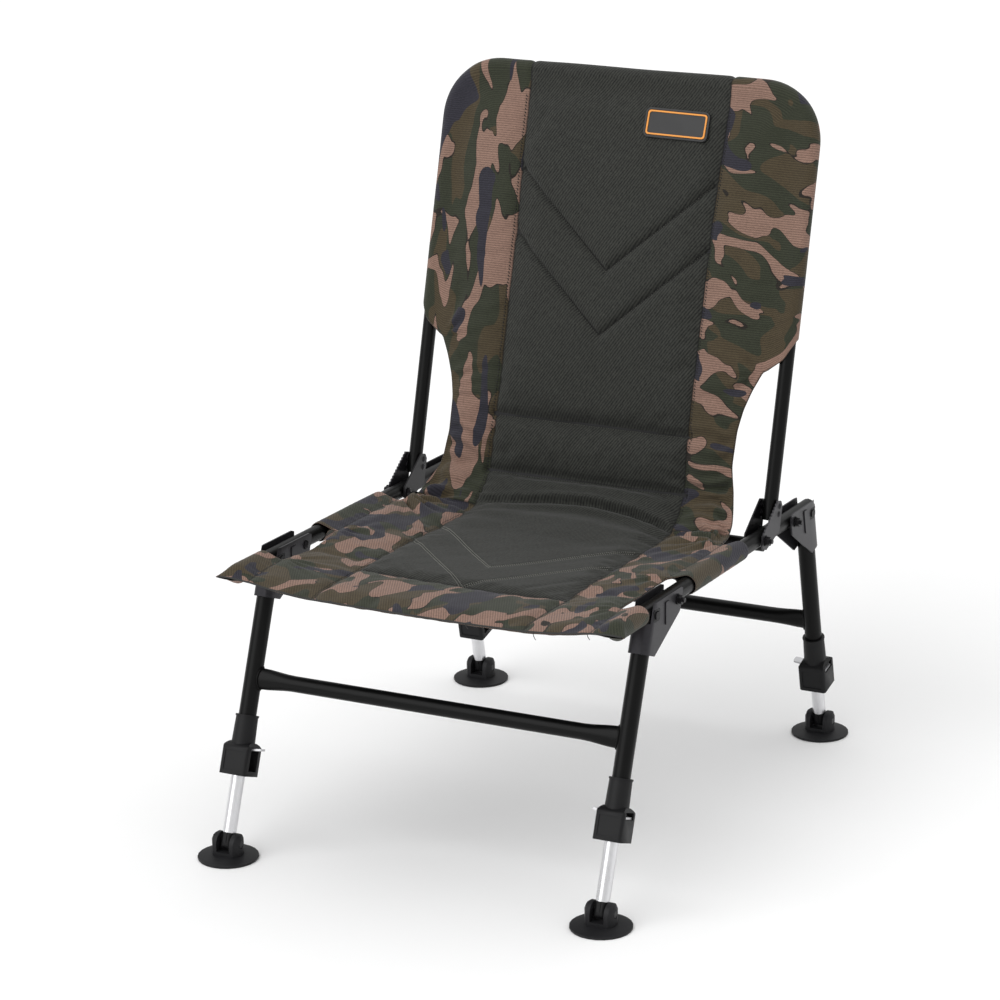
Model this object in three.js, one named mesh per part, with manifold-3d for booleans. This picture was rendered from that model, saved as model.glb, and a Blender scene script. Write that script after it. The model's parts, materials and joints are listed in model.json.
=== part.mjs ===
// Folding fishing chair: two seat rails, two folding leg frames with telescopic feet,
// a backrest frame that folds onto the seat, and a padded fabric seat and back.
// Millimetres, +Z up, +Y to the rear, +X to the right of someone looking from the front to the rear.
// The origin is on the ground, under the middle of the chair's outline.
import * as THREE from 'three';
import { mergeVertices } from 'three/addons/utils/BufferGeometryUtils.js';
import Module from 'manifold-3d';

const wasm = await Module();
wasm.setup();

// Clearances and tolerances
const seatGap = 0.3;
const runningGap = 0.4;
const cutOverrun = 5;
const mergeTolerance = 0.0005;
const minuteGap = 0.02;

// Seat rails
const railSpacing = 500;
const railDiameter = 20;
const railWall = 1.6;
const railFront = -206;
const railRear = 386;
const railAxisHeight = 343.8;
const railDropAngle = 2.06;
const plugDomeHeight = 3;
const plugStemLength = 14;
const crossbarDiameter = 16;
const crossbarWall = 1.4;
const crossbarPlace = 238;
const crossbarBelowRail = 14;

// Leg frames: where they pivot on the rails, how far they lean, and where their pieces sit
const frontPivotPlace = -62;
const rearPivotPlace = 310.5;
const frontLean = 21.3;
const rearLean = 12.8;
const legOffset = 58;
const legDiameter = 22;
const legWall = 2;
const frontInnerShown = 83.1;
const rearInnerShown = 53.3;
const frontBarRise = 46;
const rearBarRise = 25;
const barDiameter = 20;
const barEndHeight = 27;
const barEndDepth = 13;
const barFlareLength = 46;

// Leg brackets: pressed channels that straddle the rail
const bracketSheet = 2;
const bracketDrop = 71;
const bracketPivotRadius = 12.5;
const bracketTopRise = 12.5;
const bracketCornerRadius = 4.5;
const bracketBendRadius = 11.5;
const bracketNoseRadius = 6;
const bracketMouthInset = 2;
const ribHeight = 1.4;
const ribTopShare = 0.56;
const ribFootShare = 0.47;
const ribWidth = 10;
const ribRise = 4;
const ribDrop = 32;
const windowWidth = 17;
const windowHeight = 15;
const windowEdge = 7;
const windowTopDrop = 14;
const padFaceWidth = 11;
const padFaceHeight = 9;
const padFaceRise = 1.6;

// Bolts, nuts and rivets
const boltDiameter = 6;
const boltHeadDiameter = 12;
const boltHeadHeight = 3.4;
const nutAcrossFlats = 10;
const nutHeight = 6;
const nutFlangeDiameter = 14;
const nutFlangeThickness = 1.2;
const boltEndProud = 2;
const rivetDiameter = 5;
const rivetHeadDiameter = 8.4;
const rivetHeadHeight = 1.8;

// Lock housings with the spring-loaded jam plate
const collarDiameter = 29;
const collarLength = 33;
const collarLipHeight = 2.4;
const collarLipProud = 0.8;
const blockSide = 36;
const blockHeight = 41;
const blockShoulder = 7;
const blockArchRise = 9;
const blockEdge = 2.2;
const blockPanelInset = 0.9;
const blockPanelMargin = 5;
const cavityWidth = 27;
const cavityDepth = 25;
const cavityTopDrop = 38.5;
const cavityFloor = 6;
const tailWindowWidth = 19;
const plateSlotHeight = 8.5;
const plateSlotWidth = 22.5;
const plateThickness = 2.6;
const plateWidth = 20;
const plateTailReach = 30;
const plateTailWidth = 11;
const plateHole = 18.6;
const plateTilt = 7;
const plateFulcrumInset = 1.4;
const springWire = 1.7;
const springTurns = 4;

// Telescopic inner legs and swivel feet
const innerDiameter = 17;
const innerWall = 1.5;
const innerTopGap = 17.5;
const innerShownWhenIn = 15.3;
const footDiameter = 75;
const footRim = 3.2;
const footPlateThickness = 6;
const footChamfer = 0.7;
const footRecess = 1.2;
const footRecessDiameter = 58;
const pinHeight = 19.5;
const pinDiameter = 6;
const pinHeadDiameter = 9;
const pinHeadHeight = 1.2;
const clevisDiameter = 39;
const clevisDepth = 27;
const clevisTop = 32.5;
const clevisDomeRise = 8;
const clevisShoulder = 6;
const clevisFootFlare = 3;
const tongueShoulder = 12;
const tonguePlugLength = 20;
const tongueGroove = 1.1;
const tongueGrooveWidth = 2.2;
const tongueGrooveSpacing = 4.6;

// Backrest frame
const backPivotPlace = 213;
const backLean = 15.6;
const backOffset = 35.5;
const backDiameter = 18;
const backWall = 1.5;
const backTubeStart = 24;
const backTubeTop = 559;
const backBendRadius = 70;
const cheekSheet = 2;
const cheekClearance = 0.7;
const cheekTop = 50;
const cheekPivotRadius = 11.5;
const cheekFrontReach = 9;
const cheekRearMargin = 8;
const cheekToothDepth = 2;
const cheekTeeth = 11;
const cheekRivetLow = 33;
const cheekRivetHigh = 43;

// Fabric seat, along the rails and from their axis; the sleeves are sewn some way in from the rails
const fabric = 2.2;
const sleeveInset = 25;
const hemHalfThickness = 1.6;
const seatFrontReach = 21;
const sleeveRearPlace = 172;
const seatRearPlace = 205;
const seatRearHalfWidth = 209;
const cutoutFront = -145;
const cutoutRear = -4;
const borderThickness = 5.5;
const padThickness = 9.5;
const padHalfWidth = 137;
const seatHemDip = 12;
const seatDip = 9;
const seatSag = 4;
const seatSwell = 3;
const seatSleeveRise = 3;
const frontBandDepth = 122;
const seamWidth = 5;
const seamDepth = 2.2;
const seatChevronPitch = 72;

// Fabric back, up the tubes and ahead of their axis
const mouthInner = 207;
const sleeveEnd = 245;
const waistHalfWidth = 202;
const waistHigh = 150;
const backPadThickness = 14;
const backBorderThickness = 10;
const backCrown = 3;
const backAhead = 12.5;
const backTopAhead = 6;
const backSleeveAhead = 5;
const backBottom = 12;
const backBottomAhead = 25;
const lumbarLowAhead = 8;
const lumbarSeamLow = 41.8;
const lumbarSeamHigh = 114.7;
const lumbarPinch = 7;
const chevronTipHigh = 312;
const chevronTipLow = 230;
const chevronRise = 122;

// How finely round things are cut
const tubeSides = 16;
const plainSides = 12;
const fastenerSides = 8;
const discSides = 24;
const archSegments = 4;
const cornerSegments = 2;
const bendSegments = 4;
const ringSides = 14;
const flareSteps = 4;
const coilSteps = 8;
const wireSides = 5;
const bendShares = [0.25, 0.5, 0.75];

// Outlines given as shares of the size they belong to
const plugDomeShares = [[0, 1], [0.55, 0.85], [0.9, 0.5]];
const headCrownShare = 0.5;
const headEdgeShare = 0.35;
const cheekNoseShares = [[-1, 0.5], [-0.85, -0.6], [-0.3, -1], [0.5, -1]];
const toothShares = [0.1, 0.5, 0.9];
const padShoulderShare = 0.85;
const crownShoulderShare = 0.6;
const seatPadShares = { front: 0, bandMiddle: 0.6, cutout: 0.7, band: 0.8, middle: 1, rear: 0.5 };
const waistShares = [[0.4, 0.3]];
const sagShare = 1.6;
const borderMiddleShare = 0.5;
const bottomPadShare = 0.6;
const bendRowShares = [0, 0.5, 1];
const gapShares = [0, 0.25, 0.5, 0.75];

const degree = Math.PI / 180;
const halfTurn = Math.PI;
const quarterTurn = Math.PI / 2;
const twoPi = Math.PI * 2;

// Materials
const finish = (color, roughness, metalness) =>
  new THREE.MeshStandardMaterial({ color, roughness, metalness });
const tubePaint = finish(0x1c1b1c, 0.38, 0.2);
const pressedSteel = finish(0x5f5c60, 0.45, 0.6);
const darkSteel = finish(0x1b1b1c, 0.45, 0.4);
const zincSteel = finish(0xb8b8ba, 0.3, 0.95);
const bareAluminium = finish(0xd8d8da, 0.25, 0.95);
const blackPlastic = finish(0x2a2a2b, 0.62, 0);
const footRubber = finish(0x222223, 0.75, 0);
const camouflage = finish(0x55513f, 0.9, 0);

// Solids
function signedVolume(geometry) {
  const { position } = geometry.attributes;
  const corner = (i) => new THREE.Vector3().fromBufferAttribute(position, geometry.index.getX(i));
  let volume = 0;
  for (let i = 0; i < geometry.index.count; i += 3) {
    volume += corner(i).dot(corner(i + 1).cross(corner(i + 2))) / 6;
  }
  return volume;
}

function solidFrom(geometry, matrix = new THREE.Matrix4()) {
  const bare = geometry.clone();
  bare.deleteAttribute('normal');
  bare.deleteAttribute('uv');
  bare.applyMatrix4(matrix);
  const merged = mergeVertices(bare, mergeTolerance);
  const index = merged.index.array;
  const inward = signedVolume(merged) < 0;
  const kept = [];
  for (let i = 0; i < index.length; i += 3) {
    const [a, b, c] = [index[i], index[i + 1], index[i + 2]];
    if (a !== b && b !== c && c !== a) kept.push(a, inward ? c : b, inward ? b : c);
  }
  const vertProperties = new Float32Array(merged.attributes.position.array);
  const triVerts = new Uint32Array(kept);
  return new wasm.Manifold(new wasm.Mesh({ numProp: 3, vertProperties, triVerts }));
}

function geometryFrom(solid) {
  const mesh = solid.getMesh();
  const geometry = new THREE.BufferGeometry();
  geometry.setAttribute('position', new THREE.BufferAttribute(mesh.vertProperties, 3));
  geometry.setIndex(new THREE.BufferAttribute(mesh.triVerts, 1));
  geometry.computeVertexNormals();
  return geometry;
}

const moved = (x, y, z) => new THREE.Matrix4().makeTranslation(x, y, z);
const joined = (solids) => solids.reduce((whole, next) => whole.add(next));
const less = (solid, cuts) => cuts.reduce((rest, cut) => rest.subtract(cut), solid);

// A closed outline of [radius, height] pairs turned about the Z axis
function revolved(outline, sides, matrix = new THREE.Matrix4()) {
  const points = outline.map(([radius, height]) => new THREE.Vector2(radius, height));
  const lathe = new THREE.LatheGeometry([...points, points[0]], sides);
  return solidFrom(lathe, matrix.clone().multiply(new THREE.Matrix4().makeRotationX(quarterTurn)));
}

function rod(radius, low, high, sides, matrix) {
  return revolved([[0, low], [radius, low], [radius, high], [0, high]], sides, matrix);
}

function pipe(radius, bore, low, high, sides, matrix) {
  return revolved([[bore, low], [radius, low], [radius, high], [bore, high]], sides, matrix);
}

function block(low, high) {
  const size = high.map((value, axis) => value - low[axis]);
  const middle = high.map((value, axis) => (value + low[axis]) / 2);
  return solidFrom(new THREE.BoxGeometry(...size), moved(...middle));
}

const alongX = new THREE.Matrix4().makeRotationY(quarterTurn);
const alongY = new THREE.Matrix4().makeRotationX(-quarterTurn);
const sideways = new THREE.Matrix4().makeBasis(
  new THREE.Vector3(0, 1, 0),
  new THREE.Vector3(0, 0, 1),
  new THREE.Vector3(1, 0, 0)
);
const facing = new THREE.Matrix4().makeBasis(
  new THREE.Vector3(1, 0, 0),
  new THREE.Vector3(0, 0, 1),
  new THREE.Vector3(0, -1, 0)
);

// A shape extruded about the middle of its thickness, in the plane that the matrix gives
function prism(shape, thickness, plane = new THREE.Matrix4(), curveSegments = 8) {
  const settings = { depth: thickness, bevelEnabled: false, curveSegments };
  const geometry = new THREE.ExtrudeGeometry(shape, settings);
  geometry.translate(0, 0, -thickness / 2);
  return solidFrom(geometry, plane);
}

function polygon(points) {
  return new THREE.Shape(points.map(([x, y]) => new THREE.Vector2(x, y)));
}

// An outline with every corner rounded by its own radius: [x, y, radius]
function roundedPolygon(corners) {
  const shape = new THREE.Shape();
  const at = corners.map(([x, y]) => new THREE.Vector2(x, y));
  corners.forEach(([, , radius], i) => {
    const here = at[i];
    const before = at[(i + corners.length - 1) % corners.length].clone().sub(here);
    const after = at[(i + 1) % corners.length].clone().sub(here);
    const turn = Math.abs(before.angleTo(after));
    const reach = radius / Math.tan(turn / 2);
    const enter = here.clone().addScaledVector(before.normalize(), reach);
    const leave = here.clone().addScaledVector(after.normalize(), reach);
    if (i === 0) shape.moveTo(enter.x, enter.y);
    else shape.lineTo(enter.x, enter.y);
    shape.quadraticCurveTo(here.x, here.y, leave.x, leave.y);
  });
  shape.closePath();
  return shape;
}

function regularPolygon(acrossFlats, sides) {
  const radius = acrossFlats / 2 / Math.cos(Math.PI / sides);
  const corner = (i) => [radius * Math.cos((i * twoPi) / sides), radius * Math.sin((i * twoPi) / sides)];
  return polygon(Array.from({ length: sides }, (_, i) => corner(i)));
}

// Rings of points joined into one closed skin, capped at both ends
function lofted(rings) {
  const count = rings[0].length;
  const positions = rings.flat().flat();
  const triangles = [];
  for (let ring = 0; ring + 1 < rings.length; ring += 1) {
    for (let i = 0; i < count; i += 1) {
      const [a, b] = [ring * count + i, ring * count + ((i + 1) % count)];
      triangles.push(a, b, b + count, a, b + count, a + count);
    }
  }
  const last = (rings.length - 1) * count;
  for (let i = 1; i + 1 < count; i += 1) {
    triangles.push(0, i + 1, i);
    triangles.push(last, last + i, last + i + 1);
  }
  const geometry = new THREE.BufferGeometry();
  geometry.setAttribute('position', new THREE.BufferAttribute(new Float32Array(positions), 3));
  geometry.setIndex(triangles);
  return solidFrom(geometry);
}

// A padded sheet: each row is a list of [x, front, back] stations, placed by the row's own function
function paddedSheet(rows) {
  const ring = (row) => [
    ...row.stations.map((station) => row.place(station.x, station.front)),
    ...row.stations.slice().reverse().map((station) => row.place(station.x, station.back)),
  ];
  return lofted(rows.map(ring));
}

// The scene graph
function mesh(name, solid, material, parent) {
  const item = new THREE.Mesh(geometryFrom(solid), material);
  item.name = name;
  parent.add(item);
  return item;
}

function groupAt(parent, x, y, z, turnX = 0, turnZ = 0) {
  const group = new THREE.Group();
  group.position.set(x, y, z);
  group.rotation.set(turnX, 0, turnZ);
  parent.add(group);
  return group;
}

const chair = new THREE.Group();
const railTilt = -railDropAngle * degree;
const railX = railSpacing / 2;
const railRadius = railDiameter / 2;
const footReach = (pivotPlace, lean, outward) => {
  const pivotHeight = railAxisHeight + pivotPlace * Math.sin(railTilt);
  const along = (pivotHeight - pinHeight + legOffset * Math.sin(lean * degree)) / Math.cos(lean * degree);
  const reach = legOffset * Math.cos(lean * degree) + along * Math.sin(lean * degree);
  return { along, place: pivotPlace * Math.cos(railTilt) + outward * reach };
};
const frontFoot = footReach(frontPivotPlace, frontLean, -1);
const rearFoot = footReach(rearPivotPlace, rearLean, 1);
const seatFrame = groupAt(chair, 0, -(frontFoot.place + rearFoot.place) / 2, railAxisHeight, railTilt);

// Fasteners, each along X about its own middle
function boltWithNut(halfGrip) {
  const headTop = halfGrip + boltHeadHeight;
  const end = halfGrip + nutHeight + nutFlangeThickness + boltEndProud;
  const radius = boltDiameter / 2;
  const head = boltHeadDiameter / 2;
  const outline = [
    [0, -headTop],
    [head * headCrownShare, -headTop],
    [head, -halfGrip - boltHeadHeight * headEdgeShare],
    [head, -halfGrip - seatGap],
    [radius, -halfGrip - seatGap],
    [radius, end],
    [0, end],
  ];
  const start = halfGrip + seatGap;
  const hexagon = regularPolygon(nutAcrossFlats, 6);
  const nut = prism(hexagon, nutHeight, alongX.clone().multiply(moved(0, 0, start + nutHeight / 2)));
  const flange = rod(nutFlangeDiameter / 2, start, start + nutFlangeThickness, fastenerSides, alongX);
  return joined([revolved(outline, fastenerSides, alongX), nut, flange]);
}

function rivet(halfGrip) {
  const end = halfGrip + rivetHeadHeight;
  const head = rivetHeadDiameter / 2;
  const outline = [
    [0, -end],
    [head * headCrownShare, -end],
    [head, -halfGrip - seatGap],
    [rivetDiameter / 2, -halfGrip - seatGap],
    [rivetDiameter / 2, halfGrip + seatGap],
    [head, halfGrip + seatGap],
    [head * headCrownShare, end],
    [0, end],
  ];
  return revolved(outline, fastenerSides, alongX);
}

const shifted = (solid, x, y, z) => solid.translate([x, y, z]);

// A bore with few sides is opened until its flats clear the round piece in it
const boreRadius = (radius, gap, sides) => (radius + gap) / Math.cos(halfTurn / sides);

// Seat rails with the holes of their pivot bolts
const boltHole = (place, length) => {
  const radius = boreRadius(boltDiameter / 2, seatGap, fastenerSides);
  return shifted(rod(radius, -length, length, fastenerSides, alongX), 0, place, 0);
};
function seatRail() {
  const tube = pipe(railRadius, railRadius - railWall, railFront, railRear, tubeSides, alongY);
  const places = [frontPivotPlace, rearPivotPlace, backPivotPlace];
  return less(tube, places.map((place) => boltHole(place, railDiameter)));
}

function railPlug() {
  const stem = railRadius - railWall - seatGap;
  const outline = [
    ...plugDomeShares.map(([out, height]) => [railRadius * out, plugDomeHeight * height]),
    [railRadius, seatGap],
    [stem, seatGap],
    [stem, -plugStemLength],
    [0, -plugStemLength],
  ];
  const turned = revolved(outline, tubeSides, alongY);
  return shifted(turned, 0, railRear, 0);
}

for (const side of [-1, 1]) {
  const hand = side > 0 ? 'right' : 'left';
  mesh(`seat_rail_${hand}`, shifted(seatRail(), side * railX, 0, 0), tubePaint, seatFrame);
  mesh(`rail_end_plug_${hand}`, shifted(railPlug(), side * railX, 0, 0), blackPlastic, seatFrame);
}

function seatCrossbar() {
  const radius = crossbarDiameter / 2;
  const tube = pipe(radius, radius - crossbarWall, -railX, railX, plainSides, alongX);
  const placed = shifted(tube, 0, crossbarPlace, -crossbarBelowRail);
  const reach = crossbarPlace + railDiameter;
  const railCut = rod(railRadius + seatGap, crossbarPlace - railDiameter, reach, tubeSides, alongY);
  return less(placed, [-1, 1].map((side) => shifted(railCut, side * railX, 0, 0)));
}
mesh('seat_crossbar', seatCrossbar(), tubePaint, seatFrame);

// Leg frames
const legRadius = legDiameter / 2;
const channelHalf = legRadius + seatGap;
const channelOuter = channelHalf + bracketSheet;

// The leg tube ends square, just under the rail
const legTop = (tilt) =>
  -(legOffset + legRadius) * Math.tan(tilt) - (railRadius + seatGap) / Math.cos(tilt);

function legTube(lockDrop, tilt) {
  const low = -lockDrop - collarLength - seatGap;
  return pipe(legRadius, legRadius - legWall, low, legTop(tilt), tubeSides);
}

function frameBar(barDrop) {
  const rings = [];
  const section = (x, share) => {
    const depth = THREE.MathUtils.lerp(barDiameter, barEndDepth, share) / 2;
    const height = THREE.MathUtils.lerp(barDiameter, barEndHeight, share) / 2;
    const point = (angle) => [x, -legOffset + depth * Math.cos(angle), -barDrop + height * Math.sin(angle)];
    return Array.from({ length: ringSides }, (_, i) => point((i * twoPi) / ringSides));
  };
  for (let i = 0; i <= flareSteps; i += 1) {
    const x = -railX + legRadius + (barFlareLength * i) / flareSteps;
    rings.push(section(x, THREE.MathUtils.smoothstep(flareSteps - i, 0, flareSteps)));
  }
  const flares = rings.map((ring) => ring.map(([x, y, z]) => [-x, y, z])).reverse();
  const ends = [section(-railX, 1), ...rings, ...flares, section(railX, 1)];
  const legCut = rod(legRadius + seatGap, -barDrop - barEndHeight, -barDrop + barEndHeight, tubeSides);
  return less(lofted(ends), [-1, 1].map((side) => shifted(legCut, side * railX, -legOffset, 0)));
}

// The cheek outline in the leg's own Y and Z: a foot on the tube and a nose round the pivot bolt
function bracketProfile(tiltFromRail) {
  const outer = -legOffset - channelOuter;
  const inner = -legOffset + legRadius + bracketMouthInset;
  const slope = Math.tan(tiltFromRail);
  const top = (y) => y * slope + bracketTopRise / Math.cos(tiltFromRail);
  const nose = bracketPivotRadius;
  return roundedPolygon([
    [outer, -bracketDrop, bracketMouthInset],
    [inner, -bracketDrop, bracketMouthInset],
    [nose, -nose, bracketNoseRadius],
    [nose, top(nose), bracketNoseRadius],
    [outer, top(outer), bracketCornerRadius],
  ]);
}

// The channel's plan, bent closely round the leg and open towards the pivot; an inset gives its inside
function channelPrism(inset, height) {
  const half = channelOuter - inset;
  const front = -legOffset - half;
  const radius = bracketBendRadius - inset;
  const section = roundedPolygon([
    [half, front, radius],
    [half, railDiameter, minuteGap],
    [-half, railDiameter, minuteGap],
    [-half, front, radius],
  ]);
  return prism(section, height, new THREE.Matrix4(), bendSegments);
}

// A channel of sheet cut to its side outline, with a way for the rail, a window and pressed ribs
function legBracket(tiltFromRail) {
  const tall = legOffset + bracketDrop * 2;
  const skin = channelPrism(0, tall);
  const hollow = channelPrism(bracketSheet, tall * 2);
  const profile = prism(bracketProfile(tiltFromRail), channelOuter * 3, sideways, cornerSegments);
  const railLow = railRadius + seatGap;
  const above = railDiameter * 3;
  const railWay = block([-channelHalf, -legOffset * 2, -railLow], [channelHalf, railDiameter, above]);
  const tipped = railWay.rotate([tiltFromRail / degree, 0, 0]);
  const pressed = less(skin.subtract(hollow).intersect(profile), [tipped, boltHole(0, channelOuter * 2)]);
  const window = bracketWindow(tiltFromRail, windowWidth, windowHeight, channelOuter * 2);
  return joined([less(pressed, [window]), ...stiffeningRibs(tiltFromRail)]);
}

// The window near the bracket's outer top corner, and anything that fills it
function bracketWindow(tiltFromRail, width, height, thickness) {
  const outer = -legOffset - channelOuter;
  const middleY = outer + windowEdge + windowWidth / 2;
  const middleZ = middleY * Math.tan(tiltFromRail) - railRadius - windowHeight / 2 + windowTopDrop;
  const shape = roundedPolygon([
    [-width / 2, -height / 2, bracketMouthInset],
    [width / 2, -height / 2, bracketMouthInset],
    [width / 2, height / 2, bracketMouthInset],
    [-width / 2, height / 2, bracketMouthInset],
  ]);
  const plug = prism(shape, thickness, sideways, 1).rotate([tiltFromRail / degree, 0, 0]);
  return shifted(plug, 0, middleY, middleZ);
}

function stiffeningRibs(tiltFromRail) {
  const topY = -legOffset * ribTopShare;
  const topZ = topY * Math.tan(tiltFromRail) + bracketTopRise - ribRise;
  const footY = -legOffset * ribFootShare;
  const shape = (inset) =>
    polygon([
      [topY - ribWidth / 2 + inset, topZ - inset - ribWidth * Math.tan(tiltFromRail)],
      [footY, -ribDrop + inset * 2],
      [topY + ribWidth / 2 - inset, topZ - inset],
    ]);
  const lowLayer = prism(shape(0), ribHeight, sideways);
  return [-1, 1].map((side) => shifted(lowLayer, side * (channelOuter + ribHeight / 2 - minuteGap), 0, 0));
}

// A plastic pad in the bracket that the rail rests on, showing in the window of each cheek
function bracketPad(tiltFromRail) {
  const inner = channelHalf - seatGap;
  const outerFace = channelOuter + padFaceRise;
  const window = (inset, half) =>
    bracketWindow(tiltFromRail, windowWidth - inset * 2, windowHeight - inset * 2, half * 2);
  const faceInset = (windowWidth - padFaceWidth) / 2;
  const plug = window(seatGap, channelOuter).add(window(faceInset, outerFace));
  const outer = -legOffset - channelHalf + seatGap;
  const way = boreRadius(railRadius, seatGap, plainSides);
  const along = rod(way, -legOffset * 2, railDiameter, plainSides, alongY);
  const railWay = along.rotate([tiltFromRail / degree, 0, 0]);
  const saddleLow = legTop(tiltFromRail) + seatGap;
  const saddleHigh = -legOffset * Math.tan(tiltFromRail) - padFaceHeight / 2;
  const inChannel = channelPrism(bracketSheet + seatGap, legOffset * 4);
  const saddleBlock = block([-inner, outer, saddleLow], [inner, -legOffset + legRadius, saddleHigh]);
  const saddle = saddleBlock.intersect(inChannel);
  const above = block([-inner, -legOffset * 2, 0], [inner, railDiameter, railDiameter * 4]);
  const overhead = above.rotate([tiltFromRail / degree, 0, 0]);
  const bodyPart = less(saddle, [overhead]);
  return less(joined([bodyPart, plug]), [railWay]);
}

// Lock housing: collar over the leg tube, and the block that holds jam plate and spring
const blockHalf = blockSide / 2;
const blockTop = -collarLength;
const blockLow = -collarLength - blockHeight;
const cavityTop = -cavityTopDrop;
const cavityLow = blockLow + cavityFloor;

function lockHousing() {
  const collarRadius = collarDiameter / 2;
  const collar = revolved(
    [
      [0, 0],
      [collarRadius, 0],
      [collarRadius, -collarLipHeight],
      [collarRadius - collarLipProud, -collarLipHeight],
      [collarRadius, blockTop],
      [collarRadius, cavityTop],
      [0, cavityTop],
    ],
    tubeSides
  );
  const plan = roundedPolygon(
    [[1, 1], [-1, 1], [-1, -1], [1, -1]].map(([x, y]) => [x * blockHalf, y * blockHalf, blockEdge])
  );
  const body = prism(plan, blockHeight, moved(0, 0, blockTop - blockHeight / 2), 1);
  const shoulder = blockTop - blockShoulder;
  const slanted = polygon([
    [-blockHalf, blockLow],
    [blockHalf, blockLow],
    [blockHalf, shoulder],
    [collarRadius, blockTop],
    [-collarRadius, blockTop],
    [-blockHalf, shoulder],
  ]);
  const arched = new THREE.Shape();
  arched.moveTo(-blockHalf, blockLow);
  arched.lineTo(blockHalf, blockLow);
  arched.lineTo(blockHalf, blockTop - blockArchRise);
  arched.absellipse(0, blockTop - blockArchRise, blockHalf, blockArchRise, 0, Math.PI, false);
  arched.closePath();
  const outside = body
    .intersect(prism(slanted, blockSide * 2, facing))
    .intersect(prism(arched, blockSide * 2, sideways, archSegments));
  const legBore = rod(legRadius + seatGap, blockTop - seatGap * 2, cutOverrun, tubeSides);
  const slide = boreRadius(innerDiameter / 2, runningGap, plainSides);
  const innerBore = rod(slide, blockLow - cutOverrun, 0, plainSides);
  const halfWidth = cavityWidth / 2;
  const halfDepth = cavityDepth / 2;
  const cavity = block([-halfWidth, -halfDepth, cavityLow], [halfWidth, halfDepth, cavityTop]);
  const tailHalf = tailWindowWidth / 2;
  const tailWindow = block([-blockHalf * 2, -tailHalf, cavityLow], [-halfWidth, tailHalf, cavityTop]);
  const slotHalf = plateSlotWidth / 2;
  const slotLow = cavityTop - plateSlotHeight;
  const slot = block([halfWidth, -slotHalf, slotLow], [blockHalf * 2, slotHalf, cavityTop]);
  const panelHalf = blockHalf - blockPanelMargin;
  const panelTop = blockTop - blockArchRise - blockPanelMargin / 2;
  const panelFrom = blockHalf - blockPanelInset;
  const panels = [-1, 1].map((side) => {
    const panel = block(
      [-panelHalf, panelFrom, blockLow + blockPanelMargin],
      [panelHalf, blockHalf * 2, panelTop]
    );
    return panel.rotate([0, 0, side > 0 ? 0 : 180]);
  });
  return less(collar.add(outside), [legBore, innerBore, cavity, tailWindow, slot, ...panels]);
}

// The jam plate grips the inner leg at a tilt; its tail is pressed to let the leg slide
const plateFulcrum = blockHalf - plateFulcrumInset;
const plateLevel = cavityTop - plateSlotHeight + seatGap * 2;
function jamPlate() {
  const half = plateWidth / 2;
  const tail = plateTailWidth / 2;
  const neck = -cavityWidth / 2 + runningGap;
  const outline = roundedPolygon([
    [0, -half, plateFulcrumInset],
    [0, half, plateFulcrumInset],
    [neck - plateFulcrum, half, plateFulcrumInset],
    [neck - plateFulcrum - tail / 2, tail, plateFulcrumInset],
    [-plateTailReach - plateFulcrum, tail, tail / 2],
    [-plateTailReach - plateFulcrum, -tail, tail / 2],
    [neck - plateFulcrum - tail / 2, -tail, plateFulcrumInset],
    [neck - plateFulcrum, -half, plateFulcrumInset],
  ]);
  const plate = prism(outline, plateThickness, moved(0, 0, plateThickness / 2), cornerSegments);
  const hole = rod(plateHole / 2, -cutOverrun, cutOverrun, tubeSides, moved(-plateFulcrum, 0, 0));
  return less(plate, [hole]);
}

// An open coil between the block's floor and the jam plate, one unbroken tube
function springRings() {
  const inside = boreRadius(innerDiameter / 2, runningGap + seatGap, coilSteps);
  const radius = inside + springWire / 2;
  const low = cavityLow + seatGap + springWire / 2;
  const plateDip = Math.sin(plateTilt * degree) * springWire;
  const high = plateLevel - seatGap * 2 - springWire / 2 - plateDip;
  const steps = springTurns * coilSteps;
  const rings = [];
  for (let i = 0; i <= steps; i += 1) {
    const angle = (i * twoPi) / coilSteps;
    const height = THREE.MathUtils.lerp(low, high, i / steps);
    const around = (side) => {
      const turn = (side * twoPi) / wireSides;
      const out = radius + (springWire / 2) * Math.cos(turn);
      return [out * Math.cos(angle), out * Math.sin(angle), height + (springWire / 2) * Math.sin(turn)];
    };
    rings.push(Array.from({ length: wireSides }, (_, side) => around(side)).reverse());
  }
  return rings;
}

// The least distance between rings at least so many steps apart, on points along their edges
function leastGap(rings, stepsApart) {
  const outlines = rings.map((ring) => {
    const corners = ring.map((point) => new THREE.Vector3(...point));
    const edge = (i, share) => corners[i].clone().lerp(corners[(i + 1) % corners.length], share);
    return corners.flatMap((_, i) => gapShares.map((share) => edge(i, share)));
  });
  let least = Infinity;
  outlines.forEach((outline, i) => {
    const others = outlines.slice(i + stepsApart).flat();
    for (const point of outline) {
      for (const other of others) least = Math.min(least, point.distanceTo(other));
    }
  });
  return least;
}

const spring = springRings();
console.log(`lock spring: least gap to itself ${leastGap(spring, coilSteps / 2).toFixed(2)} mm`);

// Inner leg, the tongue in its end, and the foot that swivels on it
const innerRadius = innerDiameter / 2;
const tongueRadius = innerRadius;
const clevisRadius = clevisDiameter / 2;
const pinBore = boreRadius(pinDiameter / 2, seatGap, fastenerSides);

// Pushed in as far as the foot lets it, the inner leg stops just short of the leg tube's top
function innerLeg(lockDrop, tilt) {
  const low = tongueShoulder + seatGap;
  const room = lockDrop + collarLength + blockHeight + legTop(tilt) - innerTopGap;
  return pipe(innerRadius, innerRadius - innerWall, low, room + innerShownWhenIn, tubeSides);
}

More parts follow.
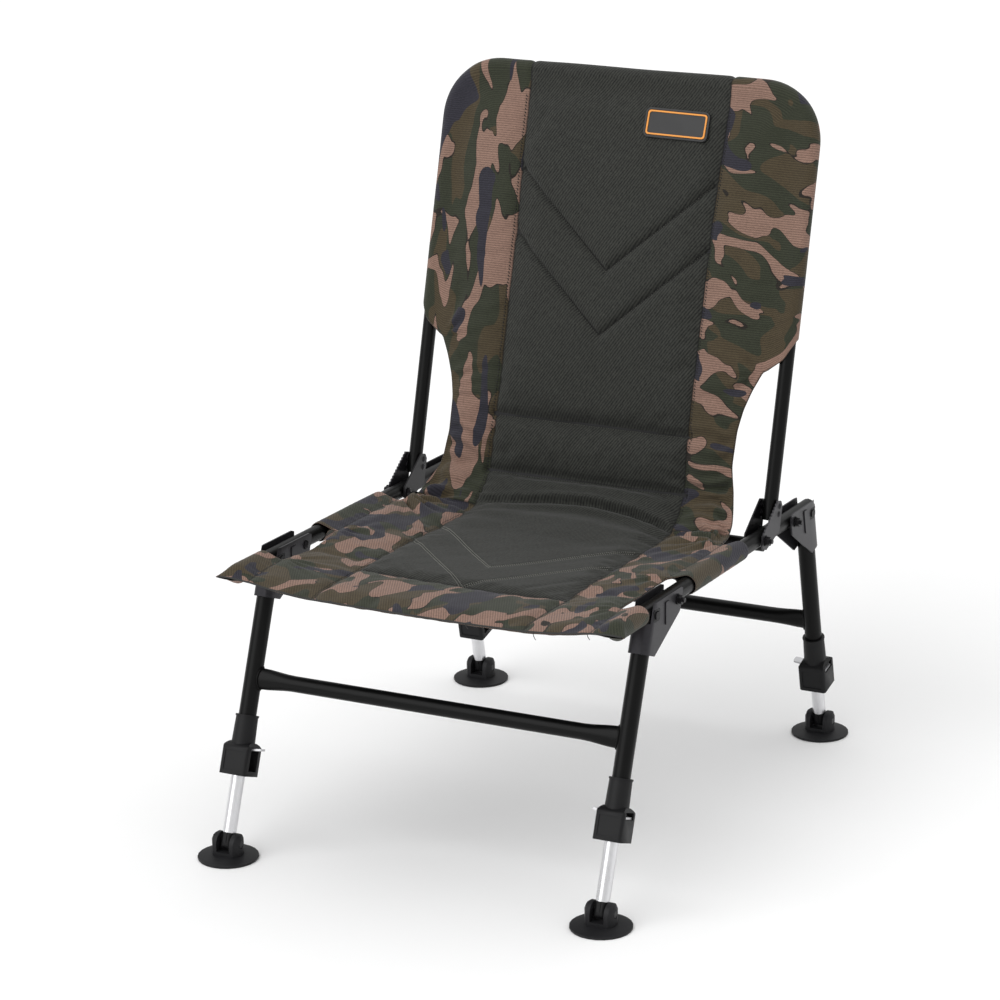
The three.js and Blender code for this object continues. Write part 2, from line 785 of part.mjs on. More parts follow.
function footTongue() {
  const eye = new THREE.Shape();
  eye.moveTo(tongueRadius, tongueShoulder);
  eye.lineTo(-tongueRadius, tongueShoulder);
  eye.lineTo(-tongueRadius, 0);
  eye.absarc(0, 0, tongueRadius, Math.PI, twoPi, false);
  eye.closePath();
  const lug = prism(eye, tongueRadius * 2, sideways, archSegments);
  const round = rod(tongueRadius, -tongueRadius * 2, tongueShoulder, plainSides);
  const plugRadius = innerRadius - innerWall - seatGap;
  const plugTop = tongueShoulder + tonguePlugLength;
  const plug = rod(plugRadius, tongueShoulder - minuteGap, plugTop, fastenerSides);
  const pinHole = rod(pinBore, -clevisRadius, clevisRadius, fastenerSides, alongX);
  const grooveFloor = tongueRadius - tongueGroove;
  const grooves = [-1, 1].flatMap((face) =>
    [-1, 1].map((side) => {
      const left = (side * tongueGrooveSpacing) / 2 - tongueGrooveWidth / 2;
      const [from, to] = face > 0 ? [grooveFloor, tongueRadius * 2] : [-tongueRadius * 2, -grooveFloor];
      return block([left, from, 0], [left + tongueGrooveWidth, to, tongueShoulder * 2]);
    })
  );
  return less(lug.intersect(round), grooves).add(plug).subtract(pinHole);
}

function swivelFoot() {
  const radius = footDiameter / 2;
  const ground = -pinHeight;
  const recess = footRecessDiameter / 2;
  const plateTop = ground + footPlateThickness;
  const disc = revolved(
    [
      [0, ground + footRecess],
      [recess, ground + footRecess],
      [recess, ground],
      [radius - footChamfer, ground],
      [radius, ground + footChamfer],
      [radius, ground + footRim],
      [clevisRadius + clevisFootFlare, plateTop],
      [0, plateTop],
    ],
    discSides
  );
  const top = clevisTop - pinHeight;
  const dome = revolved(
    [
      [0, ground + footRecess * 2],
      [clevisRadius, ground + footRecess * 2],
      [clevisRadius, top - clevisDomeRise],
      [clevisRadius - clevisShoulder / 3, top - clevisDomeRise / 3],
      [clevisRadius - clevisShoulder, top],
      [0, top],
    ],
    tubeSides
  );
  const half = clevisDepth / 2;
  const side = new THREE.Shape();
  side.moveTo(-half, ground + footRecess * 2);
  side.lineTo(half, ground + footRecess * 2);
  side.lineTo(half, 0);
  side.absellipse(0, 0, half, top, 0, Math.PI, false);
  side.closePath();
  const clevis = dome.intersect(prism(side, clevisDiameter * 2, sideways, archSegments));
  const slotHalf = tongueRadius + runningGap;
  const slotLow = -tongueRadius - runningGap * 2;
  const slot = block([-slotHalf, -clevisDiameter, slotLow], [slotHalf, clevisDiameter, clevisTop]);
  const pinHole = rod(pinBore, -clevisDiameter, clevisDiameter, fastenerSides, alongX);
  const seatCut = (face) => {
    const start = pinSeat();
    const low = face > 0 ? start : -clevisDiameter;
    const high = face > 0 ? clevisDiameter : -start;
    return rod(boreRadius(pinHeadDiameter / 2, seatGap, fastenerSides), low, high, fastenerSides, alongX);
  };
  return less(disc.add(clevis), [slot, pinHole, seatCut(-1), seatCut(1)]);
}

function pinSeat() {
  return clevisRadius - pinHeadHeight * 2;
}

function footPin() {
  const start = pinSeat() + seatGap;
  const end = start + pinHeadHeight;
  const head = pinHeadDiameter / 2;
  const outline = [
    [0, -end],
    [head, -end],
    [head, -start],
    [pinDiameter / 2, -start],
    [pinDiameter / 2, start],
    [head, start],
    [head, end],
    [0, end],
  ];
  return revolved(outline, fastenerSides, alongX);
}

// One leg set in its own frame: the pivot at the origin, the legs straight down at the offset
function legSet(prefix, pivotPlace, lean, outward, barRise, innerShown, foot) {
  const lockDrop = foot.along - innerShown - collarLength - blockHeight;
  const barDrop = lockDrop - barRise;
  const turned = groupAt(seatFrame, 0, pivotPlace, 0, 0, outward > 0 ? halfTurn : 0);
  const tilt = outward < 0 ? lean * degree + railTilt : lean * degree - railTilt;
  const frame = groupAt(turned, 0, 0, 0, -tilt);
  mesh(`${prefix}_crossbar`, frameBar(barDrop), tubePaint, frame);
  for (const side of [-1, 1]) {
    const hand = side * outward < 0 ? 'right' : 'left';
    const x = side * railX;
    const name = (piece) => `${prefix}_${hand}_${piece}`;
    const atLeg = groupAt(frame, x, -legOffset, 0);
    mesh(name('leg_tube'), legTube(lockDrop, tilt), tubePaint, atLeg);
    const atPivot = groupAt(frame, x, 0, 0);
    mesh(name('leg_bracket'), legBracket(tilt), pressedSteel, atPivot);
    mesh(name('bracket_pad'), bracketPad(tilt), blackPlastic, atPivot);
    const lock = groupAt(atLeg, 0, 0, -lockDrop, 0, side > 0 ? 0 : halfTurn);
    mesh(name('lock_housing'), lockHousing(), blackPlastic, lock);
    mesh(name('lock_spring'), lofted(spring), zincSteel, lock);
    const plate = groupAt(lock, plateFulcrum, 0, plateLevel);
    plate.rotation.y = plateTilt * degree;
    mesh(name('jam_plate'), jamPlate(), zincSteel, plate);
    const ankle = groupAt(atLeg, 0, 0, -foot.along);
    mesh(name('inner_leg'), innerLeg(lockDrop, tilt), bareAluminium, ankle);
    mesh(name('foot_tongue'), footTongue(), blackPlastic, ankle);
    const level = groupAt(ankle, 0, 0, 0, lean * degree);
    mesh(name('swivel_foot'), swivelFoot(), footRubber, level);
    mesh(name('foot_pin'), footPin(), zincSteel, level);
  }
}

legSet('front', frontPivotPlace, frontLean, -1, frontBarRise, frontInnerShown, frontFoot);
legSet('rear', rearPivotPlace, rearLean, 1, rearBarRise, rearInnerShown, rearFoot);

// Pivot bolts stay with the rails; their lock nuts are on the outer cheeks
const backCheekOuter = railRadius + cheekClearance + cheekSheet;
const pivots = [
  ['front', frontPivotPlace, channelOuter],
  ['rear', rearPivotPlace, channelOuter],
  ['back', backPivotPlace, backCheekOuter],
];
for (const [name, place, halfGrip] of pivots) {
  for (const side of [-1, 1]) {
    const hand = side > 0 ? 'right' : 'left';
    const turned = boltWithNut(halfGrip).rotate([0, 0, side > 0 ? 0 : 180]);
    mesh(`${name}_${hand}_pivot_bolt`, shifted(turned, side * railX, place, 0), zincSteel, seatFrame);
  }
}

// Backrest frame: its own Y is across the tube, its own Z runs up the tube
const backRadius = backDiameter / 2;
const backFrame = groupAt(seatFrame, 0, backPivotPlace, 0, -backLean * degree - railTilt);

const rivetHeights = [cheekRivetLow, cheekRivetHigh];

// One U-shaped tube, as a path from a given height on one side to the same height on the other
function backPath(low) {
  const path = new THREE.CurvePath();
  const corner = (side) => new THREE.Vector3(side * railX, backOffset, backTubeTop);
  const down = (side, by) => new THREE.Vector3(side * railX, backOffset, by);
  const across = (side) => new THREE.Vector3(side * (railX - backBendRadius), backOffset, backTubeTop);
  const bendLow = backTubeTop - backBendRadius;
  path.add(new THREE.LineCurve3(down(-1, low), down(-1, bendLow)));
  path.add(new THREE.QuadraticBezierCurve3(down(-1, bendLow), corner(-1), across(-1)));
  path.add(new THREE.LineCurve3(across(-1), across(1)));
  path.add(new THREE.QuadraticBezierCurve3(across(1), corner(1), down(1, bendLow)));
  path.add(new THREE.LineCurve3(down(1, bendLow), down(1, low)));
  return path;
}

// Rings square to a path at chosen shares of each of its pieces, so straight runs stay two rings long
function sweptTube(path, radius, sides) {
  const stops = [];
  path.curves.forEach((curve, n) => {
    const shares = curve.isQuadraticBezierCurve3 ? [0, ...bendShares] : [0];
    shares.forEach((share) => stops.push([curve.getPoint(share), curve.getTangent(share)]));
    if (n === path.curves.length - 1) stops.push([curve.getPoint(1), curve.getTangent(1)]);
  });
  const depth = new THREE.Vector3(0, 1, 0);
  const rings = stops.map(([point, tangent]) => {
    const out = new THREE.Vector3().crossVectors(depth, tangent).normalize();
    const around = (i) => {
      const angle = (i * twoPi) / sides;
      const spot = point.clone();
      spot.addScaledVector(out, radius * Math.cos(angle));
      spot.addScaledVector(depth, radius * Math.sin(angle));
      return spot.toArray();
    };
    return Array.from({ length: sides }, (_, i) => around(i)).reverse();
  });
  return lofted(rings);
}

function backTube() {
  const outside = sweptTube(backPath(backTubeStart), backRadius, tubeSides);
  const inside = sweptTube(backPath(backTubeStart - cutOverrun), backRadius - backWall, plainSides);
  const rivetRadius = rivetDiameter / 2 + seatGap;
  const long = rod(rivetRadius, -railX * 2, railX * 2, fastenerSides, alongX);
  const holes = rivetHeights.map((height) => shifted(long, 0, backOffset, height));
  return less(outside, [inside, ...holes]);
}
mesh('back_tube', backTube(), tubePaint, backFrame);

// Cheek plates join the back tube to the rail; the front edge is cut into teeth
function cheekPlate(outer) {
  const nose = cheekPivotRadius;
  const rear = backOffset + cheekRearMargin;
  const frontTop = [backOffset - cheekFrontReach, cheekTop];
  const noseEdge = cheekNoseShares.map(([y, z]) => [nose * y, nose * z]);
  const frontLow = noseEdge[0];
  const points = [frontTop, ...noseEdge];
  points.push([rear, backTubeStart - nose], [rear, cheekTop - nose / 2], [rear - nose / 2, cheekTop]);
  const outline = polygon(points.reverse());
  const plate = prism(outline, cheekSheet, sideways);
  const hole = boltHole(0, railDiameter);
  const rivetCut = rod(rivetDiameter / 2 + seatGap, -railDiameter, railDiameter, fastenerSides, alongX);
  const rivetCuts = rivetHeights.map((height) => shifted(rivetCut, 0, backOffset, height));
  const teeth = [];
  if (outer) {
    const from = new THREE.Vector2(...frontTop);
    const to = new THREE.Vector2(...frontLow);
    const step = to.clone().sub(from).divideScalar(cheekTeeth);
    const inward = new THREE.Vector2(-step.y, step.x).normalize();
    for (let i = 0; i < cheekTeeth; i += 1) {
      const at = (share) => from.clone().addScaledVector(step, i + share);
      const [start, middle, end] = toothShares.map(at);
      const deep = middle.addScaledVector(inward, cheekToothDepth);
      const outA = start.clone().addScaledVector(inward, -cheekToothDepth);
      const outB = end.clone().addScaledVector(inward, -cheekToothDepth);
      const notch = [outA, start, deep, end, outB].map((point) => [point.x, point.y]);
      teeth.push(prism(polygon(notch), cheekSheet * 2, sideways));
    }
  }
  return less(plate, outer ? [hole, ...teeth] : [hole, ...rivetCuts]);
}

// A dimple pressed round each rivet bridges the plate to the narrower back tube
function cheek(side, face) {
  const middle = railRadius + cheekClearance + cheekSheet / 2;
  const plate = shifted(cheekPlate(face === side), face * middle, 0, 0);
  const dimpleOuter = rivetHeadDiameter / 2 + cheekSheet / 2;
  const low = backRadius + seatGap;
  const high = railRadius + cheekClearance + minuteGap;
  const ring = pipe(dimpleOuter, rivetDiameter / 2 + seatGap, low, high, fastenerSides, alongX);
  const dimples = rivetHeights.map((height) => shifted(ring, 0, backOffset, height));
  const turned = dimples.map((dimple) => (face > 0 ? dimple : dimple.mirror([1, 0, 0])));
  const rivets = rivetHeights.map((height) => shifted(rivet(backCheekOuter), 0, backOffset, height));
  return shifted(joined([plate, ...turned, ...(face === side ? rivets : [])]), side * railX, 0, 0);
}

for (const side of [-1, 1]) {
  const hand = side > 0 ? 'right' : 'left';
  mesh(`back_${hand}_outer_cheek`, cheek(side, side), pressedSteel, backFrame);
  mesh(`back_${hand}_inner_cheek`, cheek(side, -side), darkSteel, backFrame);
}

// Stations across a fabric row, edge to edge: a hem, a border, a seam and a crowned pad.
// The cloth's middle keeps one height over the pad and runs to another at its edge
function stationsAcross({ half, border, pad, crown = 0, middle, edge }) {
  const beside = half - padHalfWidth;
  const list = [
    [half, 0],
    [half - border / 2, border],
    [padHalfWidth + beside * borderMiddleShare, border],
    [padHalfWidth + seamWidth, border],
    [padHalfWidth, border - seamDepth],
    [padHalfWidth - seamWidth, pad * padShoulderShare],
    [padHalfWidth * crownShoulderShare, pad + crown * crownShoulderShare],
    [0, pad + crown],
  ];
  const whole = [...list, ...list.slice(0, -1).reverse().map(([x, thick]) => [-x, thick])];
  return whole.map(([x, thick]) => {
    const out = Math.max(Math.abs(x) - padHalfWidth, 0) / beside;
    const at = THREE.MathUtils.lerp(middle, edge, out ** sagShare);
    return { x, front: at + thick / 2, back: at - thick / 2 };
  });
}

function grooveAlong(from, to, surface, place) {
  const ends = [from, to].map(([x, v]) => ({ x, v }));
  const along = new THREE.Vector2(to[0] - from[0], to[1] - from[1]).normalize();
  const across = new THREE.Vector2(-along.y, along.x);
  const ring = ({ x, v }) => [
    place(x - (across.x * seamWidth) / 2, v - (across.y * seamWidth) / 2, surface + seamDepth),
    place(x, v, surface - seamDepth),
    place(x + (across.x * seamWidth) / 2, v + (across.y * seamWidth) / 2, surface + seamDepth),
  ];
  return lofted(ends.map(ring));
}

// In front of the rail's end the sleeve is pressed flat, with the same way round
function flatEnd(sleeve, from, to) {
  const rings = [[from, (sleeve * halfTurn) / 2, hemHalfThickness], [to, sleeve, sleeve]];
  const point = (y, wide, high, angle) => [wide * Math.cos(angle), y, high * Math.sin(angle)];
  const ring = ([y, wide, high]) =>
    Array.from({ length: tubeSides }, (_, i) => point(y, wide, high, (i * twoPi) / tubeSides));
  return lofted(rings.map(ring));
}

// Seat cloth, in the seat frame: Y along the rails, thickness along Z
function seatPanel() {
  const sleeve = railRadius + seatGap + fabric;
  const notch = railX - sleeveInset;
  const front = railFront - seatFrontReach;
  const band = front + frontBandDepth;
  const rowAt = (y, half, share, middle, edge) => ({
    place: (x, z) => [x, y, z],
    stations: stationsAcross({
      half,
      border: THREE.MathUtils.lerp(hemHalfThickness * 2, borderThickness, share),
      pad: THREE.MathUtils.lerp(hemHalfThickness * 2, padThickness, share),
      middle,
      edge,
    }),
  });
  const { bandMiddle, cutout, band: bandShare, middle: full, rear } = seatPadShares;
  const low = -seatDip - seatSag;
  const cloth = paddedSheet([
    rowAt(front, railX, seatPadShares.front, -seatHemDip, 0),
    rowAt((front + cutoutFront) / 2, railX, bandMiddle, -seatDip, 0),
    rowAt(cutoutFront, railX, cutout, -seatDip, 0),
    rowAt(cutoutFront + seatGap, notch, cutout, -seatDip, seatSleeveRise),
    rowAt(band + seamWidth, notch, bandShare, -seatDip, 0),
    rowAt((band + cutoutRear) / 2, notch, full, low, 0),
    rowAt(cutoutRear, notch, full, low, seatSleeveRise),
    rowAt(cutoutRear + seatGap, railX, full, low, 0),
    rowAt((cutoutRear + sleeveRearPlace) / 2, railX, full, low, 0),
    rowAt(sleeveRearPlace, railX, full, -seatDip, 0),
    rowAt(sleeveRearPlace + seatGap, notch, full, -seatDip, seatSleeveRise),
    rowAt(seatRearPlace, seatRearHalfWidth, rear, -seatDip + seatSwell, -seatDip + seatSwell),
  ]);
  const sleeves = [
    flatEnd(sleeve, front + seatGap, railFront - seatGap),
    rod(sleeve, railFront - seatGap * 2, cutoutFront, tubeSides, alongY),
    rod(sleeve, cutoutRear, sleeveRearPlace, tubeSides, alongY),
  ];
  const boreRear = sleeveRearPlace + cutOverrun;
  const bore = rod(railRadius + seatGap, railFront - seatGap, boreRear, tubeSides, alongY);
  const onRails = (solid) => [-1, 1].map((side) => shifted(solid, side * railX, 0, 0));
  const surface = low + padThickness / 2;
  const place = (x, y, z) => [x, y, z];
  const reach = padHalfWidth - seamWidth;
  const grooves = [band, band + seatChevronPitch].flatMap((tip) =>
    [-1, 1].map((side) => grooveAlong([0, tip], [side * reach, tip + reach], surface, place))
  );
  return less(joined([cloth, ...sleeves.flatMap(onRails)]), [...onRails(bore), ...grooves]);
}
mesh('seat_panel', seatPanel(), camouflage, seatFrame);

// Back cloth, in the back frame: a flat strip rises from the seat to the lumbar roll,
// and above it the pad stands ahead of the tubes until it meets them at the top
function backPanel() {
  const sleeve = backRadius + seatGap + fabric;
  const notch = railX - sleeveInset;
  const bend = backTubeTop - backBendRadius;
  const rowAt = (height, half, share, ahead, edge) => ({
    place: (x, y) => [x, backOffset - y, height],
    stations: stationsAcross({
      half,
      border: backBorderThickness * share,
      pad: backPadThickness * share,
      crown: backCrown * share,
      middle: ahead,
      edge,
    }),
  });
  const waist = (height, share, ahead) => rowAt(height, waistHalfWidth, share, ahead, ahead);
  const pinched = (height, ahead) => [
    waist(height - lumbarPinch, 1, ahead),
    waist(height, borderMiddleShare, ahead),
    waist(height + lumbarPinch, 1, ahead),
  ];
  const rows = [
    waist(backBottom, bottomPadShare, backBottomAhead),
    waist(lumbarSeamLow, borderMiddleShare, lumbarLowAhead),
    waist(lumbarSeamLow + lumbarPinch, 1, backAhead),
    ...pinched(lumbarSeamHigh, backAhead),
    waist(waistHigh, 1, backAhead),
  ];
  for (const [up, out] of waistShares) {
    const height = THREE.MathUtils.lerp(waistHigh, mouthInner, up);
    rows.push(rowAt(height, THREE.MathUtils.lerp(waistHalfWidth, notch, out), 1, backAhead, backAhead));
  }
  rows.push(
    rowAt(mouthInner, notch, 1, backAhead, backSleeveAhead),
    rowAt(sleeveEnd, railX, 1, backAhead, 0),
    rowAt((sleeveEnd + bend) / 2, railX, 1, backAhead, 0)
  );
  for (const share of bendRowShares) {
    const height = backTubeTop - backBendRadius * (1 - share) ** 2;
    const ahead = THREE.MathUtils.lerp(backAhead, backTopAhead, share);
    rows.push(rowAt(height, railX - backBendRadius * share ** 2, 1, ahead, 0));
  }
  const cloth = paddedSheet(rows);
  const pocket = sweptTube(backPath(sleeveEnd), sleeve, tubeSides);
  const surface = backAhead + backPadThickness / 2 + backCrown * crownShoulderShare;
  const place = (x, height, out) => [x, backOffset - out, height];
  const reach = padHalfWidth - seamWidth;
  const chevrons = [chevronTipHigh, chevronTipLow].flatMap((tip) =>
    [-1, 1].map((side) => grooveAlong([0, tip], [side * reach, tip + chevronRise], surface, place))
  );
  const bore = sweptTube(backPath(mouthInner), backRadius + seatGap, tubeSides);
  return less(joined([cloth, pocket]), [bore, ...chevrons]);
}
mesh('back_panel', backPanel(), camouflage, backFrame);

export default chair;
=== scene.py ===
import json
import math

import bmesh
import bpy
import numpy as np
from mathutils import Matrix, Vector, noise
from mathutils.bvhtree import BVHTree


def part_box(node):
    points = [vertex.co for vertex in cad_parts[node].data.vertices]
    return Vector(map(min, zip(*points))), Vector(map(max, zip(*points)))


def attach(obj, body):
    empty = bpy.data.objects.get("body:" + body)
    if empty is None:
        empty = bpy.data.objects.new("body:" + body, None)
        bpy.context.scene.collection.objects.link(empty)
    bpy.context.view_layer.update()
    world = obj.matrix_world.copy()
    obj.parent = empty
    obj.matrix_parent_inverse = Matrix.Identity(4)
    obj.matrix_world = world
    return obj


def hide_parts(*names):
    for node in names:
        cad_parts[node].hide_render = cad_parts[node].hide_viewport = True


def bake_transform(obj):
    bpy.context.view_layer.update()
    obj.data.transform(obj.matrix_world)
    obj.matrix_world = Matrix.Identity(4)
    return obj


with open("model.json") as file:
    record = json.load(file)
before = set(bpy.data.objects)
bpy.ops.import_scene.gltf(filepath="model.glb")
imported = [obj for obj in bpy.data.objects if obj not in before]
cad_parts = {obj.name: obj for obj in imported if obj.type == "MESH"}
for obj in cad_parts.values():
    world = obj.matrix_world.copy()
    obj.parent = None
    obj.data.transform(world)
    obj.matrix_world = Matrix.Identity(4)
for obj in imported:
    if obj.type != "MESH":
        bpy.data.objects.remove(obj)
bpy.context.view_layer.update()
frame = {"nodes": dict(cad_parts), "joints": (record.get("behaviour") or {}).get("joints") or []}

# The chair's own lines, read from the frame
joints = {joint["name"]: joint for joint in frame["joints"]}
front_pivot = np.array(joints["front_legs_fold"]["pos_m"])
rear_pivot = np.array(joints["rear_legs_fold"]["pos_m"])
back_pivot = np.array(joints["backrest_fold"]["pos_m"])
along_rail = (rear_pivot - front_pivot) / np.linalg.norm(rear_pivot - front_pivot)
above_rail = np.array([0.0, -along_rail[2], along_rail[1]])
rail_low, rail_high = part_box("seat_rail_right")
RAIL_X = (rail_low.x + rail_high.x) / 2
RAIL_RADIUS = (rail_high.x - rail_low.x) / 2
TUBE_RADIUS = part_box("back_tube")[1].x - RAIL_X
BACK_LEAN = math.radians(15.6)
BACK_OFFSET = 0.0355
up_back = np.array([0.0, math.sin(BACK_LEAN), math.cos(BACK_LEAN)])
behind_back = np.array([0.0, math.cos(BACK_LEAN), -math.sin(BACK_LEAN)])
TUBE_TOP = 0.559
TUBE_BEND = 0.07
SIDES = {"left": -1, "right": 1}

# The cloth, in metres: how it is cut, where it is sewn and how thick its padding is
CELL = 0.0062
CLOTH = 0.0016
EDGE_THICKNESS = 0.0024
SLEEVE_INSET = 0.025
SLEEVE_LOOSE = 0.0012
SEAT_SEAM = 0.138
BACK_SEAM = 0.1345
TOP_SEAM = 0.1385
SEAT_PAD = 0.0085
SEAT_SIDE_PAD = 0.0045
BACK_PAD = 0.0125
BACK_SIDE_PAD = 0.009
SEAM_PINCH = 0.0036
HEM_AT = -0.440
FLAT_FADE_AT = -0.4215
BAND_AT = -0.319
FRONT_MOUTH_AT = -0.355
SLEEVE_REAR_AT = -0.054
CREASE_AT = -0.006
CHEVRON_LOW = 0.230
CHEVRON_HIGH = 0.312
CHEVRON_ROWS = 15
VEE_ROWS = 12
REAR_MOUTH_ROWS = 16
LUMBAR_LOW = 0.0418
LUMBAR_HIGH = 0.1147
BACK_MOUTH = 0.207
MOUTH_SKEW = 0.045
MOUTH_SKEW_FADE = 0.12
MOUTH_FADE = 0.05
MOUTH_SAG = 0.03
SWELL_AHEAD = 0.01
SWELL_BEHIND = 0.012
CROWN_AT = 0.12
CUTOUT_SCOOP = 0.004
SLEEVE_EDGE_BACK = 0.006
SLEEVE_TIP = 0.004
BEND_LOOSE = 0.0016
PRESSED = 0.9
EDGE_FADE = 0.03
PINCH_ON_SEAT = 0.014
PINCH_ON_BACK = 0.020
CENTRE_COLUMNS = 22
SIDE_COLUMNS = 14
ROUND_STEPS = 12
LINE_STEPS = 2
PANELS = ["seat_left", "seat_right", "seat_front", "back_left", "back_right", "centre", "lining"]

# The middle line of the pad where it crosses the seams beside the centre panel
SEAT_LINE = [(-0.440, -0.0125), (-0.400, -0.0095), (-0.30, -0.0085), (-0.18, -0.0085), (-0.05, -0.0085)]
CREASE_LINE = [(-0.022, -0.0095), (-0.002, -0.006)]
BACK_LINE = [(0.0418, 0.008), (0.075, 0.0125), (0.1147, 0.0125), (0.2, 0.0125), (0.42, 0.0115), (0.5, 0.009)]
TOP_LINE = [(TUBE_TOP - SLEEVE_INSET, 0.006)]

# Half of the cloth's width at the waist, by height, and at the crease
WAIST = [(0.01, 0.2155), (0.0418, 0.206), (0.0855, 0.199), (0.130, 0.2), (0.157, 0.205), (0.182, 0.2135)]
CREASE_HALF = 0.218
SEAM_NARROWEST = 0.38

# How the swollen cloth is settled, pressed in along its quilting and sewn together
SIM_FRAMES = 20
SIM_PRESSURE = 4.0
SIM_EXTRA_CLOTH = -0.018
SIM_REACH = 0.004
CHEVRON_DEPTH = 0.0042
CHEVRON_REACH = 0.017
VEE_DEPTH = 0.0011
VEE_REACH = 0.007
SEAM_DEPTH = 0.0028
SEAM_REACH = 0.0052
LUMBAR_DEPTH = 0.0058
LUMBAR_REACH = 0.0125
LINE_DEPTH = 0.0022
SLEEVE_LINE_DEPTH = 0.0014
FAR = SEAM_REACH * 4

# The fold over the crease: its line, its strength across, and the height, place and width of its waves
FOLD_LINE = [(-0.137, 0.004), (-0.10, 0.008), (-0.03, 0.017), (0.03, 0.018), (0.08, 0.013), (0.137, 0.0)]
FOLD_SHARES = [(-1.0, 0.25), (-0.5, 0.7), (0.0, 1.0), (0.6, 1.0), (1.0, 0.4)]
FOLD_WAVES = [(-0.011, 0.0, 0.0042), (0.0062, -0.015, 0.010), (0.0055, 0.0095, 0.0055)]

# Gathers at the waist, and fans of folds: how wide they spread, their reach, height and seed
GATHER_PITCH = 0.019
GATHER_REACH = 0.036
GATHER_HEIGHT = 0.0105
WAIST_START = 0.03
WAIST_FULL = 0.01
REAR_FAN_AT = 0.012
REAR_FAN = (5.0, 0.06, 0.024, 2.3)
FRONT_FAN = (4.0, 0.04, 0.008, 6.1)
MOUTH_FAN = (4.0, 0.04, 0.008, 8.4)
BACK_FAN = (4.0, 0.05, 0.010, 4.9)
HEM_FADE = 0.02
RIM_QUIET = 0.001
RIM_FULL = 0.014
FACE_FADE = 0.03
RIM_SHARE = 0.15

# Wrinkles: height and reach of the puckers, and heights of the slack cloth's swells
PUCKER_HEIGHT = 0.0013
PUCKER_START = 0.004
PUCKER_REACH = 0.018
SEAM_PUCKER_HEIGHT = 0.0011
SEAM_PUCKER_REACH = 0.009
SWELL_HEIGHT = 0.0022
TENSION_HEIGHT = 0.0003
TENSION_BESIDE = 0.0009
TENSION_EDGE = (0.02, 0.09)
TENSION_SEAM = (-0.03, 0.02)

# Stitches, each kind with its slant, pitch and radius, and cords
STITCH_SHARE = 0.62
PLAIN_STITCH = (0.0, 0.0034, 0.00042)
OVERLOCK = (0.25, 0.0043, 0.0006)
SEAT_STITCH = (0.0, 0.0028, 0.00055)
SEAM_THREAD_SHIFT = 0.0035
WAIST_THREAD_SHIFT = 0.0032
QUILT_THREAD_SHIFT = -0.0022
LUMBAR_THREAD_SHIFT = -0.002
SEAT_THREAD_SHIFT = 0.0021
SIDE_THREAD_SHIFT = 0.0028
BAND_THREAD_SHIFT = 0.0024
THREAD_END = 0.004
SIDE_THREAD_END = 0.012
SEAM_CLEARANCE = 0.003
THREAD_RAY = 0.009
THREAD_RAY_LENGTH = 0.02
HEM_RADIUS = 0.0011
CORD_SIDES = 6
FRONT_TIP_LENGTH = 0.042
TAILS = ((0.62, 0.006), (0.78, 0.009), (0.9, 0.007))
TAIL_SIDE = (0.0015, 0.004)
TAIL_AHEAD = -0.001

# The crossbars' weld beads, and the badge
WELD_RADIUS = 0.0013
WELD_STEPS = 40
WELD_TALL = 0.0138
WELD_WIDE = 0.0070
WELD_ROUGH = 0.05
BADGE_U = (0.0312, 0.1178)
BADGE_UP = (0.4832, 0.5217)
BADGE_THICKNESS = 0.0014
BADGE_CORNER = 0.0075
CORNER_STEPS = 6
BADGE_LINE_INSET = 0.0036
BADGE_LINE_WIDTH = 0.0021
BADGE_LINE_BEVEL = 0.0001
BADGE_LINE_FOOT = 0.0008
BADGE_LINE_RISE = 0.0006
BADGE_SUNK = -0.003
BADGE_TIGHTEST = (0.001, 0.003)
BADGE_STEPS = ((0.0, 0.0008), (0.0003, 0.0002), (0.0009, 0.0), (0.0026, 0.0), (0.0031, 0.0005))

# Weaves, prints and painted seam shade, in metres and noise levels
RIB_PITCH = 0.0029
TWILL_PITCH = 0.0034
SEAT_RIBS = (0.915, 0.4)
# Painted shade along the sewn lines: full within the narrow width, gone at the wide one, and how much it
# darkens the cloth
SEAM_SHADE_NARROW = 0.0004
SEAM_SHADE_WIDE = 0.0019
SEAM_SHADE_STRENGTH = 0.62
TAN_AT = 0.552
TAN_OUTLINE = 0.011
CHARCOAL_AT = 0.59
WEAVE_BUMP = 0.0004
LINING_BUMP = 0.0003
GRAIN = 0.00005
PAINT_GRAIN = 0.00006
MOULD_GRAIN = 0.00008
FOOT_GRAIN = 0.0001
RUBBER_GRAIN = 0.00004
BORDER_GRAIN = 0.00003
FLOOR_GRAIN = 0.00001
EVEN = (1.0, 1.0, 1.0)
DRAWN = (1.0, 1.0, 0.06)
MERGE_WITHIN = 0.00001
SHARP_ANGLE = math.radians(46)

# Floor, camera and lights: each lamp's way, softness in degrees and strength
FLOOR_SIZE = 60.0
CAMERA_PLACE = Vector((1.9138, -3.9608, 1.7713))
CAMERA_LOOK = Vector((0.0, -0.0936, 0.4163))
CAMERA_ROLL = math.radians(-0.652)
CAMERA_LENS = 36.0 * 3.720
SENSOR_WIDTH = 36.0
WORLD_STRENGTH = 0.58
LIGHTS = [
    ("key", (-0.45, -0.8, 0.72), 60.0, 1.6),
    ("fill", (0.8, -0.55, 0.35), 90.0, 0.3),
    ("top", (0.15, 0.45, 0.95), 80.0, 0.85),
]


def at_seat(along, above):
    """A point over the rails, from the back pivot: along the rail and above its axis."""
    return back_pivot + along_rail * along + above_rail * above


def at_back(up, ahead):
    """A point on the backrest, from the back pivot: up the tubes and ahead of their plane."""
    return back_pivot + up_back * up + behind_back * (BACK_OFFSET - ahead)


def smooth(low, high, value):
    share = np.clip((value - low) / (high - low), 0.0, 1.0)
    return share * share * (3 - 2 * share)


